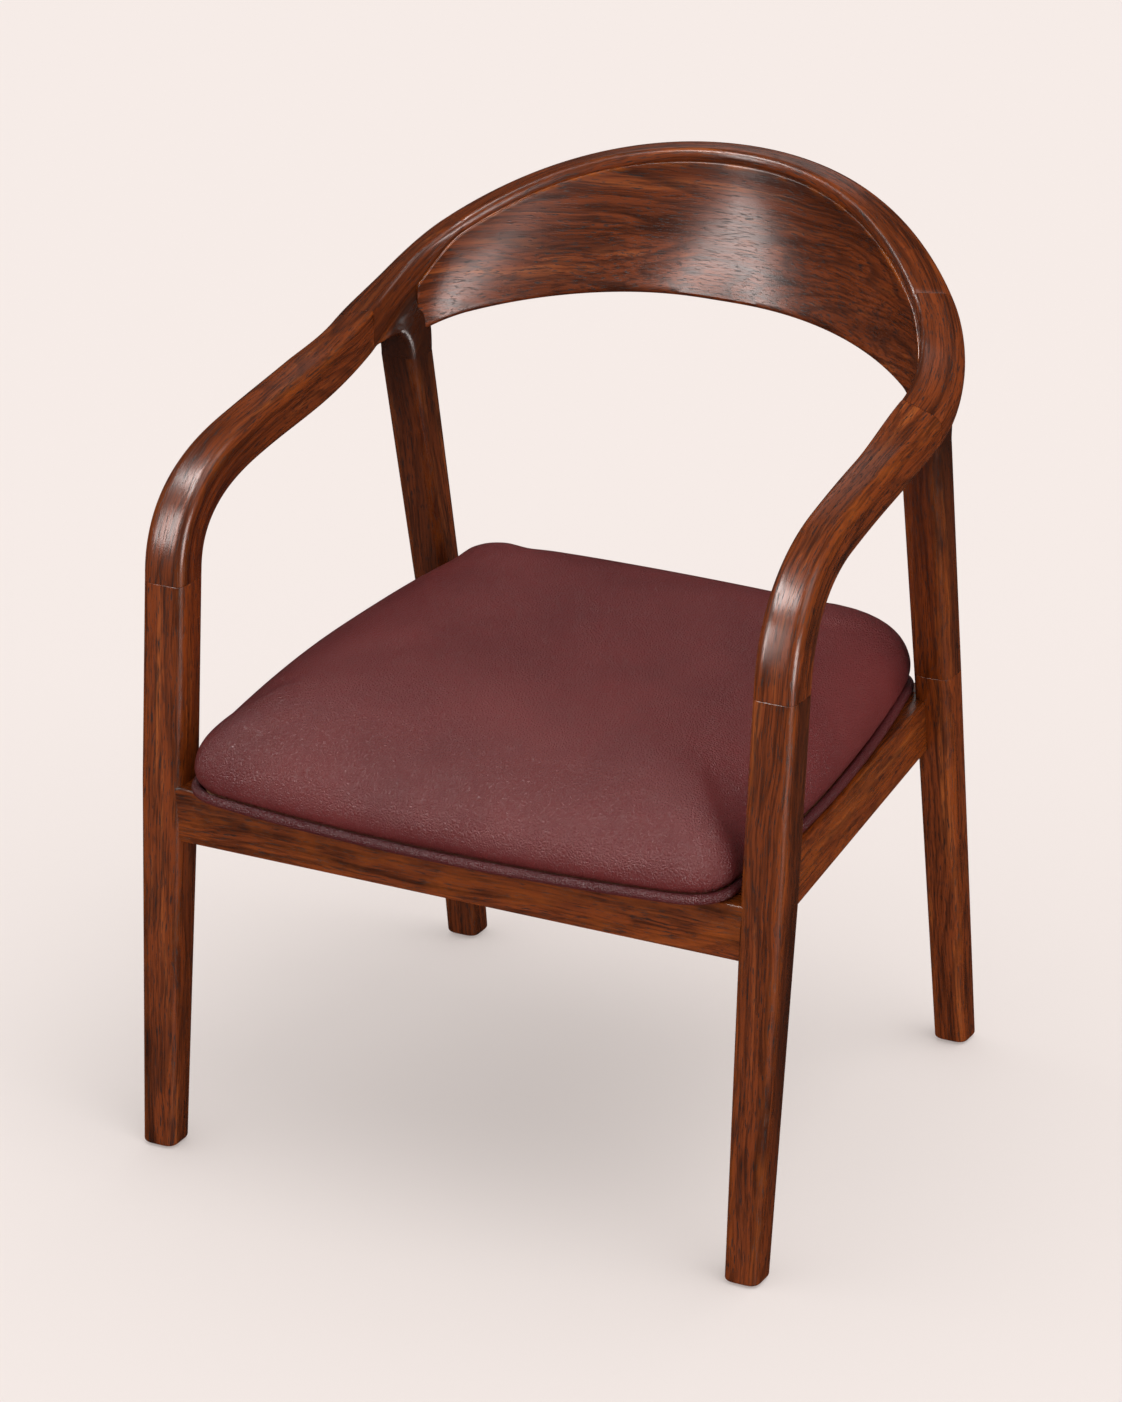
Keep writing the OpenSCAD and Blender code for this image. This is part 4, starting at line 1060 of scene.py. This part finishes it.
def swollen(obj, cap, voxel, pressure, hold_below):
    """Blows the closed mesh up a little as cloth, and gives the points and faces."""
    remesh = obj.modifiers.new("remesh", "REMESH")
    remesh.mode, remesh.voxel_size = "VOXEL", voxel * MM
    depsgraph = bpy.context.evaluated_depsgraph_get()
    mesh = bpy.data.meshes.new_from_object(obj.evaluated_get(depsgraph))
    work = bpy.data.objects.new("cushion_work", mesh)
    scene.collection.objects.link(work)
    start = np.empty(len(mesh.vertices) * 3)
    mesh.vertices.foreach_get("co", start)
    start = start.reshape(-1, 3)
    flat = unseated(start / MM + np.array([0, middle_y, 0]))
    held = work.vertex_groups.new(name="held")
    held.add([int(i) for i in np.nonzero(flat[:, 2] < hold_below)[0]], 1.0, "ADD")
    cloth = work.modifiers.new("cloth", "CLOTH")
    settings = cloth.settings
    settings.use_pressure = True
    settings.uniform_pressure_force = pressure
    settings.effector_weights.gravity = 0
    settings.vertex_group_mass = "held"
    settings.quality = 5
    settings.tension_stiffness = 25
    settings.compression_stiffness = 25
    cloth.point_cache.frame_start = 1
    cloth.point_cache.frame_end = 20
    for f in range(1, 21):
        scene.frame_set(f)
    depsgraph = bpy.context.evaluated_depsgraph_get()
    blown = bpy.data.meshes.new_from_object(work.evaluated_get(depsgraph))
    end = np.empty(len(blown.vertices) * 3)
    blown.vertices.foreach_get("co", end)
    end = end.reshape(-1, 3)
    scene.frame_set(1)
    move = end - start
    length = np.linalg.norm(move, axis=1)[:, None] + 1e-12
    start = start + move / length * cap * MM * np.tanh(length / (cap * MM))
    faces = [tuple(p.vertices) for p in mesh.polygons]
    bpy.data.objects.remove(work)
    return start / MM + np.array([0, middle_y, 0]), faces


def corner_folds(points):
    """How far round a front corner each point lies, and how strong the folds are there."""
    flat = unseated(points)
    x, y = np.abs(flat[:, 0]), flat[:, 1]
    turn = np.arctan2(x - seat_front_x + seat_front_round, seat_front_round - seat_front_y - y)
    up = flat[:, 2] - piping_z - 3
    spread, height = 0.8, 34
    near = np.clip(1 - np.abs(turn - math.pi / 4) / spread, 0, 1)
    near *= np.clip(1 - up / height, 0, 1)
    near *= np.clip((x - seat_front_x + 60) / 30, 0, 1) * (y < 60)
    return {"fold": turn, "near": near * 0.9}


def seat():
    points, faces = cushion_form(shrink=2.0)
    first = make_piece("cushion_start", points, faces, seat_leather)
    points, faces = swollen(first, cap=3.5, voxel=5, pressure=4.0,
                            hold_below=piping_z + 4)
    bpy.data.objects.remove(first)
    cushion = make_piece("seat_cushion", points, faces, seat_leather, corner_folds(points),
                         smooth=180)
    relax = cushion.modifiers.new("relax", "SMOOTH")
    relax.factor, relax.iterations = 0.5, 12
    fine = cushion.modifiers.new("fine", "SUBSURF")
    fine.levels = fine.render_levels = 1
    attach(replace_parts(cushion, "seat_cover", "seat_foam"), "root")

    outline = seat_outline(14, 40)
    middle = inset(outline, CORD_R)
    r = CORD_R
    rings = []
    for c, o in zip(middle, outward(middle)):
        ring = []
        for k in range(CORD_SIDES):
            a = 2 * math.pi * k / CORD_SIDES
            ring.append([c[0] + o[0] * r * math.cos(a), c[1] + o[1] * r * math.cos(a),
                         frame_top + CORD_LIFT + r + r * math.sin(a)])
        rings.append(np.array(ring))
    faces = [tuple(reversed(f)) for f in ring_faces(len(rings), CORD_SIDES, closed=True)]
    piping = make_piece("seat_piping_sewn", seated(np.concatenate(rings)), faces,
                        piping_leather, smooth=180)
    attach(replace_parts(piping, "seat_piping"), "root")


def dust_sheet():
    """The thin black cloth tacked under the seat board, with a slight sag."""
    outline = inset(seat_outline(8, 14), DUST_INSET)
    middle = outline.mean(0)
    shares = np.linspace(1, 0.06, 20)
    points = np.concatenate([
        np.column_stack([
            middle + (outline - middle) * share,
            np.full(len(outline), board_bottom - DUST_DEPTH - CLOTH_SAG * (1 - share**2)),
        ])
        for share in shares
    ])
    faces = ring_faces(len(shares), len(outline), caps=False)
    faces.append(tuple((len(shares) - 1) * len(outline) + j for j in range(len(outline))))
    faces = [tuple(reversed(f)) for f in faces]
    cloth = make_piece("dust_cloth_tacked", seated(points), faces, black_cloth, smooth=180)
    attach(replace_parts(cloth, "dust_cover"), "root")


seat()
dust_sheet()

# The other CAD nodes
# The grain of a side rail: how far the rail runs inward, in mm, and its slope
side_rail_inward, side_rail_slope = 31, 0.043
side_angle = math.atan2(side_rail_inward, rear_rail_y - front_rail_back)


def side_way(side):
    return (-side * math.sin(side_angle), math.cos(side_angle), side_rail_slope)


node_wood = {
    node: wood(f"walnut_{node}", DARK, MID, LIGHT, seed, way, 0.4)
    for node, seed, way in (
        ("front_rail", 43, (1, 0, 0)), ("rear_rail", 47, (1, 0, 0)),
        ("side_rail_right", 53, side_way(1)), ("side_rail_left", 59, side_way(-1)),
    )
}
pale = wood("beech", srgb(150, 112, 70), srgb(190, 152, 104), srgb(208, 174, 128), 61,
            (1, 0, 0), 0.3, 0.6, 0.0, pale=True)
nylon = plain("nylon", srgb(28, 26, 25), srgb(40, 37, 35), 0.55, (300, 300, 300))
zinc = plain("zinc_steel", srgb(150, 150, 152), srgb(176, 176, 178), 0.35, (200, 200, 900), 1.0)
for name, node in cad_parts.items():
    if name in node_wood:
        material = node_wood[name]
    elif name.startswith("corner_block") or name == "seat_board" or name.endswith("dowels"):
        material = pale
    elif name.endswith("screws"):
        material = zinc
    elif name.startswith("glide"):
        material = nylon
    else:
        continue
    for slot in node.material_slots:
        slot.material = material

# Floor and light
floor_mesh = bpy.data.meshes.new("floor")
floor_half = 30
floor_mesh.from_pydata(
    [(x * floor_half, y * floor_half, 0) for x, y in ((-1, -1), (1, -1), (1, 1), (-1, 1))],
    [], [(0, 1, 2, 3)],
)
floor = bpy.data.objects.new("floor", floor_mesh)
scene.collection.objects.link(floor)
n = Nodes("floor_paper")
n.set("Emission Color", (0.885, 0.795, 0.755, 1))
n.set("Roughness", 0.9)
n.set("Specular IOR Level", 0.1)
# the floor is bright to the eye and nearly black in reflections
floor_glow = 0.36
floor_path = n.add("ShaderNodeLightPath").outputs["Is Glossy Ray"]
n.link(n.blend(floor_path, (0.54, 0.5, 0.485, 1), (0.02, 0.018, 0.017, 1)),
       n.shader.inputs["Base Color"])
n.link(n.math("MULTIPLY_ADD", floor_path, -floor_glow, floor_glow),
       n.shader.inputs["Emission Strength"])
floor_mesh.materials.append(n.mat)

world = bpy.data.worlds.new("studio")
scene.world = world
world.use_nodes = True
back = world.node_tree.nodes["Background"]
back.inputs["Color"].default_value = (1.0, 0.985, 0.975, 1)
# the room is bright for the floor and dim in reflections
path = world.node_tree.nodes.new("ShaderNodeLightPath")
dim = world.node_tree.nodes.new("ShaderNodeMapRange")
dim.inputs["To Min"].default_value = 0.89
dim.inputs["To Max"].default_value = 0.03
world.node_tree.links.new(path.outputs["Is Glossy Ray"], dim.inputs["Value"])
world.node_tree.links.new(dim.outputs[0], back.inputs["Strength"])

LIGHT_AIM = Vector((0, 0, 0.5))
BOX_COLOUR = (1, 0.985, 0.97)


def aimed(name, kind, place):
    light = bpy.data.lights.new(name, kind)
    obj = bpy.data.objects.new(name, light)
    scene.collection.objects.link(obj)
    obj.location = place
    obj.rotation_euler = (LIGHT_AIM - Vector(place)).to_track_quat("-Z", "Y").to_euler()
    return obj, light


def softbox(name, place, size, power):
    """A panel of light seen only in reflections, the floor's faint one too."""
    obj, light = aimed(name, "AREA", place)
    light.shape, light.size, light.size_y = "RECTANGLE", size[0], size[1]
    light.energy, light.color = power, BOX_COLOUR
    obj.visible_diffuse = False
    obj.visible_camera = False


_, overhead = aimed("overhead", "SUN", (1.2, -0.3, 3.0))
overhead.energy = 0.85
overhead.angle = math.radians(44)
overhead.color = (1.0, 0.98, 0.96)
softbox("top_box", (-1.1, -0.9, 3.0), (1.3, 0.8), 62)
softbox("left_box", (-1.6, -2.7, 1.9), (0.8, 1.7), 62)
softbox("right_box", (2.9, -1.6, 0.8), (1.6, 1.6), 90)
softbox("rear_box", (-1.3, 3.0, 2.3), (1.5, 1.2), 3)
scene.view_settings.view_transform = "Standard"
